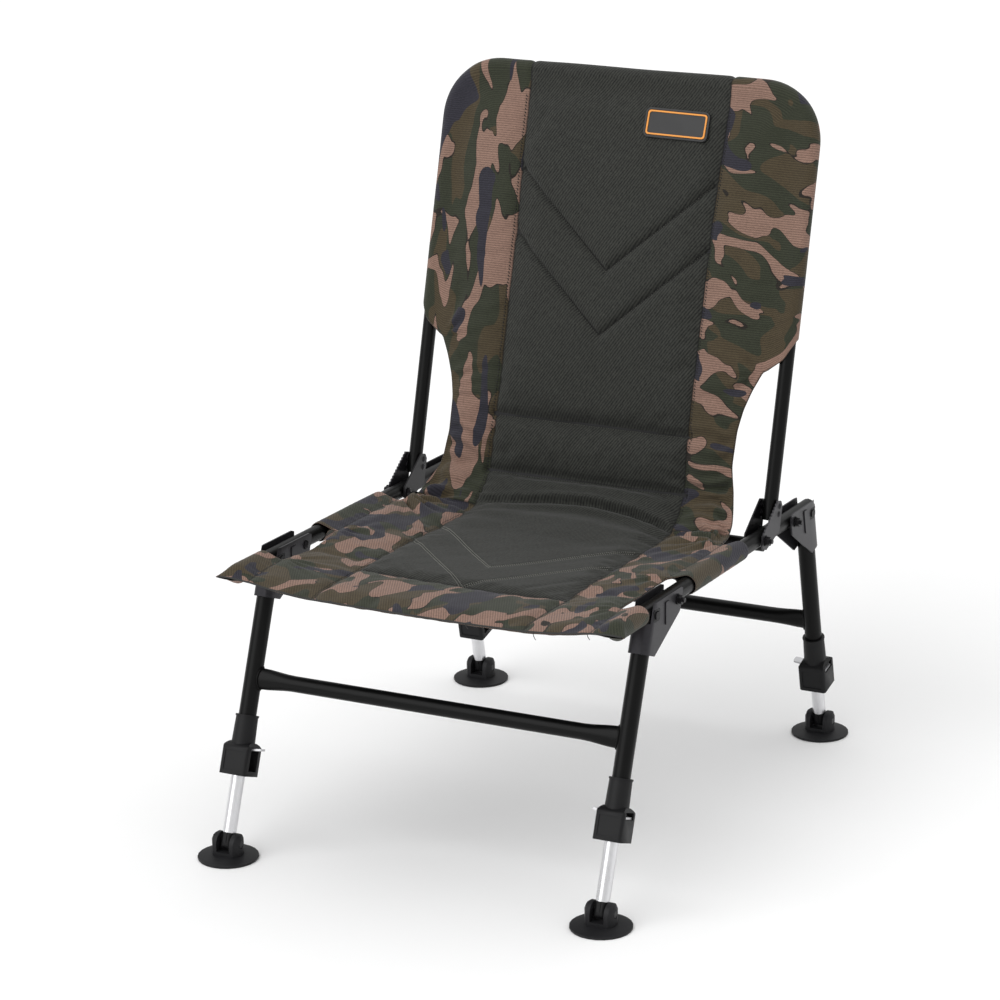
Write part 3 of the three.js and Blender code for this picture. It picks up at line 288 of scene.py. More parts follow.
def smoothed(points, passes=3):
    """Chaikin's corner cutting, which keeps the two ends."""
    for _ in range(passes):
        near = points[:-1] * 0.75 + points[1:] * 0.25
        far = points[:-1] * 0.25 + points[1:] * 0.75
        middle = np.stack([near, far], 1).reshape(-1, 3)
        points = np.concatenate([points[:1], middle, points[-1:]])
    return points


class Profile:
    """The pad's middle line from the front hem to the top, walked by its length."""

    def __init__(self):
        stops = [at_seat(*point) for point in SEAT_LINE + CREASE_LINE]
        stops += [at_back(*point) for point in BACK_LINE + TOP_LINE]
        self.points = smoothed(np.array(stops))
        steps = np.linalg.norm(np.diff(self.points, axis=0), axis=1)
        self.lengths = np.concatenate([[0.0], np.cumsum(steps)])
        self.total = self.lengths[-1]

    def at(self, length):
        return np.array([np.interp(length, self.lengths, self.points[:, axis]) for axis in range(3)])

    def normal(self, length):
        ahead = self.at(min(length + CELL, self.total)) - self.at(max(length - CELL, 0.0))
        ahead /= np.linalg.norm(ahead)
        return np.array([0.0, -ahead[2], ahead[1]])

    def nearest(self, point):
        return self.lengths[np.argmin(np.linalg.norm(self.points - point, axis=1))]

    def seat_length(self, along):
        gap = (self.points - back_pivot) @ along_rail
        return float(np.interp(along, gap[: len(gap) // 2], self.lengths[: len(gap) // 2]))

    def back_length(self, up):
        gap = (self.points - back_pivot) @ up_back
        return float(np.interp(up, gap, self.lengths))


profile = Profile()
V_BAND = profile.seat_length(BAND_AT)
V_FRONT_MOUTH = profile.seat_length(FRONT_MOUTH_AT)
V_RAIL_END = profile.seat_length(FLAT_FADE_AT)
V_SLEEVE_REAR = profile.seat_length(SLEEVE_REAR_AT)
V_CREASE = profile.nearest(at_seat(CREASE_AT, CREASE_LINE[1][1]))
V_LUMBAR_LOW = profile.back_length(LUMBAR_LOW)
V_LUMBAR_HIGH = profile.back_length(LUMBAR_HIGH)
V_BACK_MOUTH = profile.back_length(BACK_MOUTH)
V_BEND = profile.back_length(TUBE_TOP - TUBE_BEND)
V_TOP = profile.total

# The quilted lines run through the corners of the grid, so its rows are spaced to suit them
VEE_STEP = SEAT_SEAM / CENTRE_COLUMNS
V_REAR_MOUTH = V_BAND + VEE_STEP * REAR_MOUTH_ROWS
V_VEE_HIGH = V_BAND + VEE_STEP * VEE_ROWS
V_VEE_END = V_VEE_HIGH + VEE_STEP * CENTRE_COLUMNS
V_CHEVRON_LOW = profile.back_length(CHEVRON_LOW)
V_CHEVRON_HIGH = profile.back_length(CHEVRON_HIGH)
CHEVRON_STEP = (V_CHEVRON_HIGH - V_CHEVRON_LOW) / CHEVRON_ROWS
V_CHEVRON_END = V_CHEVRON_HIGH + CHEVRON_STEP * CENTRE_COLUMNS
SEAT_SLOPE = VEE_STEP / (SEAT_SEAM / CENTRE_COLUMNS)
BACK_SLOPE = CHEVRON_STEP / (BACK_SEAM / CENTRE_COLUMNS)
BADGE_V = tuple(profile.back_length(up) for up in BADGE_UP)

# Half of the cloth's width up to its sleeves, and where its long seams run
HALF_WIDTHS = (
    [(0.0, RAIL_X - SLEEVE_INSET), (V_SLEEVE_REAR, RAIL_X - SLEEVE_INSET), (V_CREASE, CREASE_HALF)]
    + [(profile.back_length(up), half) for up, half in WAIST]
    + [(V_BACK_MOUTH, RAIL_X - SLEEVE_INSET), (V_TOP, RAIL_X - SLEEVE_INSET)]
)
SEAM_LINE = [
    (0.0, SEAT_SEAM),
    (V_CREASE, SEAT_SEAM),
    (V_LUMBAR_HIGH, BACK_SEAM),
    (profile.back_length(SEAM_NARROWEST), BACK_SEAM),
    (V_TOP, TOP_SEAM),
]
# How far the cloth's edge rises from the profile line to meet its sleeves
EDGE_RISES = [
    (0.0, 0.0105),
    (V_FRONT_MOUTH, 0.0125),
    ((V_FRONT_MOUTH + V_REAR_MOUTH) / 2, 0.0085),
    (V_REAR_MOUTH, 0.0125),
    (V_SLEEVE_REAR, 0.011),
    (V_CREASE, 0.010),
    (V_LUMBAR_LOW, 0.003),
    (V_BACK_MOUTH - MOUTH_SAG, -0.001),
    (V_BACK_MOUTH + MOUTH_FADE, -0.004),
    (V_TOP - MOUTH_FADE, -0.003),
    (V_TOP, 0.0),
]
# The middle of the seat sags and then swells against the lumbar roll; the back is crowned
CENTRE_RISES = [
    (0.0, -0.001),
    (V_BAND, -0.003),
    (V_REAR_MOUTH, -0.005),
    (V_SLEEVE_REAR - MOUTH_FADE, -0.001),
    (V_SLEEVE_REAR + SWELL_AHEAD, 0.007),
    (V_CREASE + SWELL_BEHIND, 0.004),
    (V_LUMBAR_LOW, 0.0),
    (V_LUMBAR_HIGH, 0.0),
    (V_LUMBAR_HIGH + CROWN_AT, 0.003),
    (V_TOP, 0.0),
]


def along_table(table, value):
    """The table's second column where its first has the value."""
    places, levels = zip(*table)
    return np.interp(value, places, levels)


def half_width(v):
    """Half of the cloth's width, less where the cut-outs are scooped."""
    scoop = math.sin(math.pi * min(max((v - V_FRONT_MOUTH) / (V_REAR_MOUTH - V_FRONT_MOUTH), 0.0), 1.0))
    return along_table(HALF_WIDTHS, v) - CUTOUT_SCOOP * scoop


def middle_rise(u, v):
    seam, half = along_table(SEAM_LINE, v), half_width(v)
    beside = max(abs(u) - seam, 0.0) / (half - seam)
    across = min(abs(u) / seam, 1.0)
    crown = along_table(CENTRE_RISES, v) * (1 - across**2)
    return along_table(EDGE_RISES, v) * beside**1.6 + crown


def pad_thickness(u, v):
    """Padding between seams: full in the panels, pinched along the seams, thin at the edges."""
    seam, half = along_table(SEAM_LINE, v), half_width(v)
    on_back = float(smooth(V_CREASE, V_LUMBAR_LOW, v))
    centre = SEAT_PAD + (BACK_PAD - SEAT_PAD) * on_back
    side = SEAT_SIDE_PAD + (BACK_SIDE_PAD - SEAT_SIDE_PAD) * on_back
    pinch_width = PINCH_ON_SEAT + (PINCH_ON_BACK - PINCH_ON_SEAT) * on_back
    from_seam = abs(abs(u) - seam)
    if abs(u) < seam:
        full = centre
        for line in (V_BAND, V_LUMBAR_LOW, V_LUMBAR_HIGH):
            from_seam = min(from_seam, abs(v - line))
    else:
        full = side
    full = SEAM_PINCH + (full - SEAM_PINCH) * math.sqrt(float(smooth(0.0, pinch_width, from_seam)))
    sleeved = v > V_BACK_MOUTH
    edge = SLEEVE_EDGE_BACK if sleeved else EDGE_THICKNESS
    to_edge = min(half - abs(u), V_TOP - v if sleeved else v)
    fade = float(smooth(0.0, EDGE_FADE, to_edge))
    return edge + (full - edge) * fade


def stretch(low, high, cell=CELL):
    count = max(int(round((high - low) / cell)), 1)
    return np.linspace(low, high, count + 1)


def rows():
    lines = [
        stretch(0.0, V_RAIL_END),
        stretch(V_RAIL_END, V_FRONT_MOUTH),
        stretch(V_FRONT_MOUTH, V_BAND),
        stretch(V_BAND, V_VEE_END, VEE_STEP),
        stretch(V_VEE_END, V_SLEEVE_REAR),
        stretch(V_SLEEVE_REAR, V_CREASE),
        stretch(V_CREASE, V_LUMBAR_LOW),
        stretch(V_LUMBAR_LOW, V_LUMBAR_HIGH),
        stretch(V_LUMBAR_HIGH, V_BACK_MOUTH),
        stretch(V_BACK_MOUTH, V_CHEVRON_LOW),
        stretch(V_CHEVRON_LOW, V_CHEVRON_END, CHEVRON_STEP),
        stretch(V_CHEVRON_END, V_BEND),
        stretch(V_BEND, V_TOP),
    ]
    return np.concatenate([line[:-1] for line in lines] + [[V_TOP]])


def columns(v):
    """Where each column crosses row v, from left to right."""
    seam, half = along_table(SEAM_LINE, v), half_width(v)
    inner = np.linspace(0.0, seam, CENTRE_COLUMNS + 1)
    outer = np.linspace(seam, half, SIDE_COLUMNS + 1)[1:]
    right = np.concatenate([inner, outer])
    return np.concatenate([-right[::-1], right[1:]])


def teardrop(tip, radius):
    """A loop from a tip round a circle about the origin and back: outward and upward places."""
    distance = math.hypot(*tip)
    heading = math.atan2(tip[1], tip[0])
    reach = math.acos(min(radius / distance, 1.0))
    start, end = heading - reach, heading + reach - math.tau
    turn = [start + (end - start) * step / ROUND_STEPS for step in range(ROUND_STEPS + 1)]
    arc = [(radius * math.cos(a), radius * math.sin(a)) for a in turn]
    tip = np.array(tip)
    lead = [tuple(tip + (np.array(arc[0]) - tip) * k / LINE_STEPS) for k in range(LINE_STEPS)]
    return lead + arc + lead[::-1]


class Cover:
    """One closed skin: front and back of the pad, with sleeves round the rails and the back tube."""

    def __init__(self):
        self.mesh = bmesh.new()
        self.flat = self.mesh.verts.layers.float_vector.new("flat")
        self.pin = self.mesh.verts.layers.float.new("held")
        self.v = rows()
        self.count = 2 * (CENTRE_COLUMNS + SIDE_COLUMNS)
        self.quilted = set()
        for tip in (V_BAND, V_VEE_HIGH, V_CHEVRON_LOW, V_CHEVRON_HIGH):
            first = self.index(tip)
            for step in range(CENTRE_COLUMNS):
                self.quilted.add((first + step, self.count // 2 + step, 1))
                self.quilted.add((first + step, self.count // 2 - step - 1, -1))
        self.front, self.back = [], []
        for v in self.v:
            self.add_row(v)
        self.panels()
        self.edges()
        self.seat_sleeves()
        self.back_sleeve()
        bmesh.ops.recalc_face_normals(self.mesh, faces=self.mesh.faces)

    def vertex(self, place, u, v, layer, held):
        vertex = self.mesh.verts.new(place)
        vertex[self.flat] = (u, v, layer)
        vertex[self.pin] = held
        return vertex

    def face(self, corners, material):
        kept = []
        for corner in corners:
            if corner not in kept:
                kept.append(corner)
        if len(kept) > 2:
            self.mesh.faces.new(kept).material_index = material

    def place(self, u, v):
        """Rounds the grid's two top corners, as the sleeve's inner edge goes round the tube's bend."""
        half = half_width(v)
        radius = TUBE_BEND - SLEEVE_INSET
        over, high = abs(u) - (half - radius), v - (V_TOP - radius)
        if over > 0 and high > 0:
            reach = max(over, high)
            angle = math.atan2(high, over)
            warped = (math.cos(angle) * reach, math.sin(angle) * reach)
            u = math.copysign(half - radius + warped[0], u)
            v = V_TOP - radius + warped[1]
        return u, v

    def add_row(self, v):
        front, back = [], []
        for u in columns(v):
            u_on, v_on = self.place(u, v)
            thick = pad_thickness(u, v)
            middle = profile.at(v_on) + profile.normal(v_on) * middle_rise(u, v)
            across = np.array([u_on, 0.0, 0.0])
            out = profile.normal(v_on) * thick / 2
            held = 1.0 if self.is_held(u, v) else 0.0
            front.append(self.vertex(middle + across + out, u, v, 0.0, held))
            back.append(self.vertex(middle + across - out, u, v, 1.0, held))
        self.front.append(front)
        self.back.append(back)

    def is_held(self, u, v):
        seam = along_table(SEAM_LINE, v)
        near = CELL * 0.4
        if half_width(v) - abs(u) < near or v < near or V_TOP - v < near:
            return True
        if abs(abs(u) - seam) < near:
            return True
        lines = (V_BAND, V_LUMBAR_LOW, V_LUMBAR_HIGH)
        return abs(u) < seam and any(abs(v - line) < near for line in lines)

    def panel_of(self, row, column):
        """Which cloth a front face is cut from."""
        u = abs(column + 0.5 - self.count / 2)
        v = (self.v[row] + self.v[min(row + 1, len(self.v) - 1)]) / 2
        if u < CENTRE_COLUMNS:
            return PANELS.index("seat_front") if v < V_BAND else PANELS.index("centre")
        side = "left" if column < self.count / 2 else "right"
        return PANELS.index(f"seat_{side}" if v < V_CREASE else f"back_{side}")

    def panels(self):
        lining = PANELS.index("lining")
        for row in range(len(self.v) - 1):
            for column in range(self.count):
                pair = [(row, column), (row, column + 1), (row + 1, column + 1), (row + 1, column)]
                self.front_face([self.front[i][j] for i, j in pair], row, column)
                self.face([self.back[i][j] for i, j in reversed(pair)], lining)

    def front_face(self, corners, row, column):
        """A cell that a quilted line crosses is cut along it, from corner to corner."""
        panel = self.panel_of(row, column)
        first, second, third, fourth = corners
        if (row, column, 1) in self.quilted:
            self.face([first, second, third], panel)
            self.face([first, third, fourth], panel)
        elif (row, column, -1) in self.quilted:
            self.face([first, second, fourth], panel)
            self.face([second, third, fourth], panel)
        else:
            self.face(corners, panel)

    def index(self, v):
        return int(np.argmin(np.abs(self.v - v)))

    def edges(self):
        """Closes the pad where it has no sleeve: the front hem, the cut-outs and the waist."""
        for column in range(self.count):
            corners = [self.front[0][column + 1], self.front[0][column]]
            corners += [self.back[0][column], self.back[0][column + 1]]
            self.face(corners, self.panel_of(0, column))
        open_rows = [(self.index(V_FRONT_MOUTH), self.index(V_REAR_MOUTH))]
        open_rows.append((self.index(V_SLEEVE_REAR), self.index(V_BACK_MOUTH)))
        for start, end in open_rows:
            for row in range(start, end):
                for column in (0, self.count):
                    corners = [self.front[row][column], self.front[row + 1][column]]
                    corners += [self.back[row + 1][column], self.back[row][column]]
                    self.face(corners, self.panel_of(row, min(column, self.count - 1)))

    def strip(self, low, high, material):
        for k in range(len(low) - 1):
            self.face([low[k], low[k + 1], high[k + 1], high[k]], material)

    def sleeve(self, stations):
        """A run of loops round a tube, open at both ends. Each station says where its loop goes."""
        outer_loops, inner_loops = [], []
        for station in stations:
            outline = teardrop(station.tip, station.radius)
            inner = teardrop(station.tip + np.array([SLEEVE_TIP, 0.0]), station.radius - CLOTH)
            lengths = np.cumsum(np.linalg.norm(np.diff(outline, axis=0), axis=1))
            between = range(1, len(outline) - 1)
            skin = [self.loop_vertex(station, outline, k, lengths[k - 1], 0.0) for k in between]
            tip = self.loop_vertex(station, inner, 0, 0.0, 1.0)
            bore = [self.loop_vertex(station, inner, k, lengths[-2], 1.0) for k in between]
            outer_loops.append([station.front] + skin + [station.back])
            inner_loops.append([tip] + bore + [tip])
        for i in range(len(stations) - 1):
            self.strip(outer_loops[i], outer_loops[i + 1], stations[i].panel)
            self.strip(inner_loops[i], inner_loops[i + 1], PANELS.index("lining"))
        for end in (0, -1):
            outer, inner = outer_loops[end], inner_loops[end]
            self.strip(outer, inner, stations[end].panel)
            self.face([outer[0], outer[-1], inner[0]], stations[end].panel)

    def loop_vertex(self, station, spots, k, length, layer):
        bulge = math.sin(math.pi * k / (len(spots) - 1))
        u, v = np.array(station.flat) + np.array(station.flat_out) * length
        return self.vertex(station.place(spots[k], bulge), u, v, layer, 1.0)

    def seat_sleeves(self):
        for column in (0, self.count):
            for low, high in ((0.0, V_FRONT_MOUTH), (V_REAR_MOUTH, V_SLEEVE_REAR)):
                rows_in = range(self.index(low), self.index(high) + 1)
                self.sleeve([RailStation(self, row, column) for row in rows_in])

    def back_sleeve(self):
        first, last = self.index(V_BACK_MOUTH), len(self.v) - 1
        path = [(row, 0) for row in range(first, last + 1)]
        path += [(last, column) for column in range(1, self.count)]
        path += [(row, self.count) for row in range(last, first - 1, -1)]
        self.sleeve([TubeStation(self, row, column) for row, column in path])


class Station:
    """One loop of a sleeve, round its tube, with the pad's edge that it joins."""

    flatness = 0.0
    skew = 0.0
    drop = 0.0

    def __init__(self, pad, row, column):
        self.front, self.back = pad.front[row][column], pad.back[row][column]
        self.middle = (np.array(self.front.co) + np.array(self.back.co)) / 2
        self.side = -1.0 if self.middle[0] < 0 else 1.0
        self.panel = pad.panel_of(min(row, len(pad.v) - 2), min(column, pad.count - 1))
        self.flat = (columns(pad.v[row])[column], pad.v[row])
        self.settle(column in (0, pad.count))
        gap = self.middle - self.centre
        self.tip = np.array([gap @ self.out, gap @ self.high])

    def place(self, spot, bulge):
        """A spot on the loop. A loop near the front hem is pressed flat."""
        wider = 1 + (math.pi / 2 - 1) * self.flatness if spot[0] > 0 else 1.0
        high = spot[1] * (1 - PRESSED * self.flatness) + self.drop * (1 - bulge * 0.35)
        place = self.centre + self.out * spot[0] * wider + self.high * high
        return place + self.forward * self.skew * bulge


class RailStation(Station):
    """A loop round a seat rail."""

    def settle(self, _):
        along = float((self.middle - back_pivot) @ along_rail)
        self.centre = at_seat(along, 0.0) + np.array([self.side * RAIL_X, 0.0, 0.0])
        self.out, self.high, self.forward = np.array([self.side, 0.0, 0.0]), above_rail, -along_rail
        self.radius = RAIL_RADIUS + CLOTH + SLEEVE_LOOSE
        self.flat_out = (self.side, 0.0)
        self.flatness = 1.0 - float(smooth(HEM_AT, FLAT_FADE_AT, along))
        self.drop = float((self.middle - self.centre) @ above_rail) * self.flatness


class TubeStation(Station):
    """A loop round the back tube: up a side, round a bend or along the top."""

    def settle(self, at_side):
        up = float((self.middle - back_pivot) @ up_back)
        bend_x, bend_up = RAIL_X - TUBE_BEND, TUBE_TOP - TUBE_BEND
        over, high = abs(self.middle[0]) - bend_x, up - bend_up
        angle = 0.0
        across, centre_up = self.side * RAIL_X, up
        if over > 0 and high > 0:
            angle = math.atan2(high, over)
            across = self.side * (bend_x + TUBE_BEND * math.cos(angle))
            centre_up = bend_up + TUBE_BEND * math.sin(angle)
        elif high > 0 and not at_side:
            angle = math.pi / 2
            across, centre_up = self.middle[0], TUBE_TOP
        self.out = np.array([self.side * math.cos(angle), 0.0, 0.0]) + up_back * math.sin(angle)
        self.high, self.forward = -behind_back, up_back
        self.centre = at_back(centre_up, 0.0) + np.array([across, 0.0, 0.0])
        self.skew = MOUTH_SKEW * (1 - min(max(up - BACK_MOUTH, 0.0) / MOUTH_SKEW_FADE, 1.0))
        self.radius = TUBE_RADIUS + CLOTH + SLEEVE_LOOSE + BEND_LOOSE * math.sin(2 * angle)
        self.flat_out = (self.side * math.cos(angle), math.sin(angle))


def object_from(name, mesh_data):
    item = bpy.data.objects.new(name, mesh_data)
    bpy.context.scene.collection.objects.link(item)
    return item


def of_vertices(mesh_data, field="co"):
    """Every vertex's place, or its normal."""
    values = np.empty(len(mesh_data.vertices) * 3)
    mesh_data.vertices.foreach_get(field, values)
    return values.reshape(-1, 3)


def move(mesh_data, places):
    mesh_data.vertices.foreach_set("co", places.ravel())
    mesh_data.update()


def attribute(mesh_data, name, width):
    values = np.empty(len(mesh_data.vertices) * width)
    mesh_data.attributes[name].data.foreach_get("vector" if width == 3 else "value", values)
    return values.reshape(-1, width) if width > 1 else values


def swollen(item):
    """The cover's cloth, a little too large for its foam, is blown up between its seams."""
    held = item.vertex_groups.new(name="held")
    for index, value in enumerate(attribute(item.data, "held", 1)):
        held.add([index], float(value), "REPLACE")
    cloth = item.modifiers.new("cloth", "CLOTH")
    cloth.settings.quality = 4
    cloth.settings.mass = 0.3
    cloth.settings.tension_stiffness = 15
    cloth.settings.compression_stiffness = 15
    cloth.settings.shear_stiffness = 5
    cloth.settings.bending_stiffness = 0.3
    cloth.settings.use_pressure = True
    cloth.settings.uniform_pressure_force = SIM_PRESSURE
    cloth.settings.shrink_min = SIM_EXTRA_CLOTH
    cloth.settings.vertex_group_mass = "held"
    cloth.settings.effector_weights.gravity = 0.0
    cloth.collision_settings.use_collision = False
    cloth.point_cache.frame_end = SIM_FRAMES
    for step in range(1, SIM_FRAMES + 1):
        bpy.context.scene.frame_set(step)
    settled = item.evaluated_get(bpy.context.evaluated_depsgraph_get())
    before = of_vertices(item.data)
    shift = of_vertices(settled.data) - before
    reach = np.linalg.norm(shift, axis=1, keepdims=True)
    shift *= np.minimum(1.0, SIM_REACH / np.maximum(reach, SIM_REACH))
    item.modifiers.remove(cloth)
    item.vertex_groups.clear()
    bpy.context.scene.frame_set(1)
    move(item.data, before + shift)


def subdivided(item):
    finer = item.modifiers.new("finer", "SUBSURF")
    finer.levels = 1
    finer.boundary_smooth = "PRESERVE_CORNERS"
    settled = item.evaluated_get(bpy.context.evaluated_depsgraph_get())
    result = bpy.data.meshes.new_from_object(settled)
    item.modifiers.remove(finer)
    item.data = result


def ripple(points, seed):
    """Smooth noise from -1 to 1 at each point."""
    shift = Vector((seed, seed * 2, seed * 3))
    return np.array([noise.noise(Vector(point) + shift) for point in points])


def from_line(u, v, tip, slope):
    """How far each place is above a quilted line that slopes up from its tip to both sides."""
    return (v - tip - np.abs(u) * slope) / math.hypot(1.0, slope)


def quilting(u, v):
    """How deep the quilted lines press into the centre panel."""
    depth = np.zeros(len(u))
    inside = np.abs(u) <= along_table(SEAM_LINE, v)
    on_back = v > V_CREASE
    lines = [(tip, SEAT_SLOPE, VEE_DEPTH, VEE_REACH, ~on_back) for tip in (V_BAND, V_VEE_HIGH)]
    for tip in (V_CHEVRON_LOW, V_CHEVRON_HIGH):
        lines.append((tip, BACK_SLOPE, CHEVRON_DEPTH, CHEVRON_REACH, on_back))
    for tip, slope, deepest, reach, part in lines:
        away = np.abs(from_line(u, v, tip, slope))
        press = deepest * np.clip(1 - away / reach, 0.0, 1.0) ** 2
        depth = np.maximum(depth, np.where(inside & part, press, 0.0))
    return depth


def valley(away, depth, reach, where=True):
    return np.where(where, depth * np.clip(1 - np.abs(away) / reach, 0.0, 1.0) ** 1.5, 0.0)


def seams(u, v):
    """Narrow valleys where the panels are sewn together, and where the sleeves are sewn."""
    seam, half = along_table(SEAM_LINE, v), along_table(HALF_WIDTHS, v)
    inside = np.abs(u) <= seam + SEAM_REACH
    sleeved = (v < V_FRONT_MOUTH) | ((v > V_REAR_MOUTH) & (v < V_SLEEVE_REAR))
    on_chevrons = (np.abs(u) <= seam) & (v > V_CREASE)
    depths = [valley(np.abs(u) - seam, np.where(v > V_CREASE, LINE_DEPTH, SLEEVE_LINE_DEPTH), SEAM_REACH)]
    depths += [valley(v - line, LUMBAR_DEPTH, LUMBAR_REACH, inside) for line in (V_LUMBAR_LOW, V_LUMBAR_HIGH)]
    depths.append(valley(v - V_BAND, SLEEVE_LINE_DEPTH, SEAM_REACH, inside))
    for tip in (V_CHEVRON_LOW, V_CHEVRON_HIGH):
        depths.append(valley(from_line(u, v, tip, BACK_SLOPE), SEAM_DEPTH, SEAM_REACH, on_chevrons))
    depths.append(valley(np.abs(u) - half, SLEEVE_LINE_DEPTH, SEAM_REACH, sleeved))
    return np.max(depths, axis=0)


def line_gap(u, v):
    """How far each place is from the nearest sewn line, with a sign that changes over it."""
    seam, half = along_table(SEAM_LINE, v), along_table(HALF_WIDTHS, v)
    inside = np.abs(u) <= seam
    beyond = inside | (np.abs(u) > half + SEAM_REACH)
    gaps = [np.abs(u) - seam, np.where(v < V_BACK_MOUTH, np.abs(u) - half, FAR)]
    gaps.append(np.where(beyond, FAR, v - V_CREASE))
    gaps += [np.where(inside, v - line, FAR) for line in (V_LUMBAR_LOW, V_LUMBAR_HIGH, V_BAND)]
    for tip in (V_CHEVRON_LOW, V_CHEVRON_HIGH):
        gaps.append(np.where(inside & (v > V_CREASE), from_line(u, v, tip, BACK_SLOPE), FAR))
    gaps = np.array(gaps)
    nearest = np.argmin(np.abs(gaps), axis=0)
    return np.clip(gaps[nearest, np.arange(len(u))], -FAR, FAR)


def fold(u, v):
    """The seat's middle swells over the crease, and a fold runs from seam to seam above it."""
    seam = along_table(SEAM_LINE, v)
    line = V_CREASE + along_table(FOLD_LINE, u)
    waves = sum(height * np.exp(-(((v - line - place) / width) ** 2)) for height, place, width in FOLD_WAVES)
    return np.where(np.abs(u) < seam, along_table(FOLD_SHARES, u / seam) * waves, 0.0)


def fan(u, v, place, spread, reach, height, seed):
    """Folds that run out from one place, as where a sleeve ends, and die away at the hem."""
    over, up = np.abs(u) - (RAIL_X - SLEEVE_INSET), v - place
    reach_share = np.hypot(over, up) / reach
    side = np.where(u < 0, seed, seed + 5.0)
    turn = np.arctan2(up, -over) * spread
    folds = ripple(np.stack([turn, reach_share * 0.6, side], 1), seed)
    fade = smooth(0.0, HEM_FADE, along_table(HALF_WIDTHS, v) - np.abs(u))
    return folds * height * np.exp(-reach_share) * smooth(0.0, 0.25, reach_share) * fade


def gathers(u, v):
    """Folds that move the whole cloth: across the waist, and out from the ends of the sleeves."""
    side = np.where(u < 0, 0.0, 4.0)
    from_edge = along_table(HALF_WIDTHS, v) - np.abs(u)
    waist = smooth(V_CREASE - WAIST_START, V_CREASE + WAIST_FULL, v)
    waist = waist * (1 - smooth(V_BACK_MOUTH - MOUTH_FADE, V_BACK_MOUTH, v))
    drift = ripple(np.stack([u * 12, v * 16, side], 1), 3.1)
    uneven = 0.55 + ripple(np.stack([u * 6, v * 45, side], 1), 1.4)
    near_crease = 1 - 0.7 * smooth(V_LUMBAR_LOW, V_BACK_MOUTH - MOUTH_FADE, v)
    folds = np.sin(math.tau * (v / GATHER_PITCH + drift * 1.6)) * uneven * near_crease
    across = folds * np.exp(-np.maximum(from_edge, 0) / GATHER_REACH) * GATHER_HEIGHT * waist
    fans = [(V_SLEEVE_REAR + REAR_FAN_AT, REAR_FAN), (V_FRONT_MOUTH, FRONT_FAN)]
    fans += [(V_REAR_MOUTH, MOUTH_FAN), (V_BACK_MOUTH, BACK_FAN)]
    return across + sum(fan(u, v, place, *sizes) for place, sizes in fans)


def wrinkles(u, v):
    """Puckers along the seams, and slack in the face cloth."""
    seam = along_table(SEAM_LINE, v)
    from_edge = along_table(HALF_WIDTHS, v) - np.abs(u)
    side = np.where(u < 0, 0.0, 4.0)
    on_seat = 1 - smooth(V_CREASE - HEM_FADE, V_CREASE, v)
    pucker = ripple(np.stack([u * 22, v * 150, side], 1), 7.7) * PUCKER_HEIGHT * on_seat
    pucker *= np.exp(-np.maximum(from_edge - PUCKER_START, 0) / PUCKER_REACH)
    seam_pucker = ripple(np.stack([u * 30, v * 120, side], 1), 1.9) * SEAM_PUCKER_HEIGHT
    seam_pucker *= np.exp(-np.abs(np.abs(u) - seam) / SEAM_PUCKER_REACH)
    swell = ripple(np.stack([u * 9, v * 9, side * 0], 1), 5.3) * SWELL_HEIGHT
    beside = smooth(*TENSION_SEAM, np.abs(u) - seam)
    tension = ripple(np.stack([(u + v) * 9, (u - v) * 42, side], 1), 9.2)
    tension *= TENSION_HEIGHT + TENSION_BESIDE * beside
    return pucker + seam_pucker + swell + tension * smooth(*TENSION_EDGE, from_edge) * on_seat


def finish_cover(item):
    """Presses seams, quilting and folds into the cloth, and marks how far it is from its seams, where painted
    shade is laid.
    """
    data = item.data
    u, v, layer = attribute(data, "flat", 3).T
    face_side = layer < 0.5
    from_edge = along_table(HALF_WIDTHS, v) - np.abs(u)
    sheet = gathers(u, v) * smooth(RIM_QUIET, RIM_FULL, from_edge)
    rise = fold(u, v) - quilting(u, v) - seams(u, v) + wrinkles(u, v) + sheet
    within = np.maximum(smooth(-FACE_FADE, 0.0, from_edge), RIM_SHARE)
    rise = np.where(face_side, rise * within, -sheet)
    move(data, of_vertices(data) + of_vertices(data, "normal") * rise[:, None])
    gap = data.attributes.new("line_gap", "FLOAT", "POINT")
    gap.data.foreach_set("value", np.where(face_side, line_gap(u, v), FAR))


cover_cut = Cover()
cover_mesh = bpy.data.meshes.new("padded_cover")
for name in PANELS:
    cover_mesh.materials.append(bpy.data.materials.new(name))
cover_cut.mesh.to_mesh(cover_mesh)
cover = object_from("padded_cover", cover_mesh)
swollen(cover)
subdivided(cover)
finish_cover(cover)
cover.data.name = "padded_cover"
for polygon in cover.data.polygons:
    polygon.use_smooth = True

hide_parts("seat_panel", "back_panel")
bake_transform(cover)


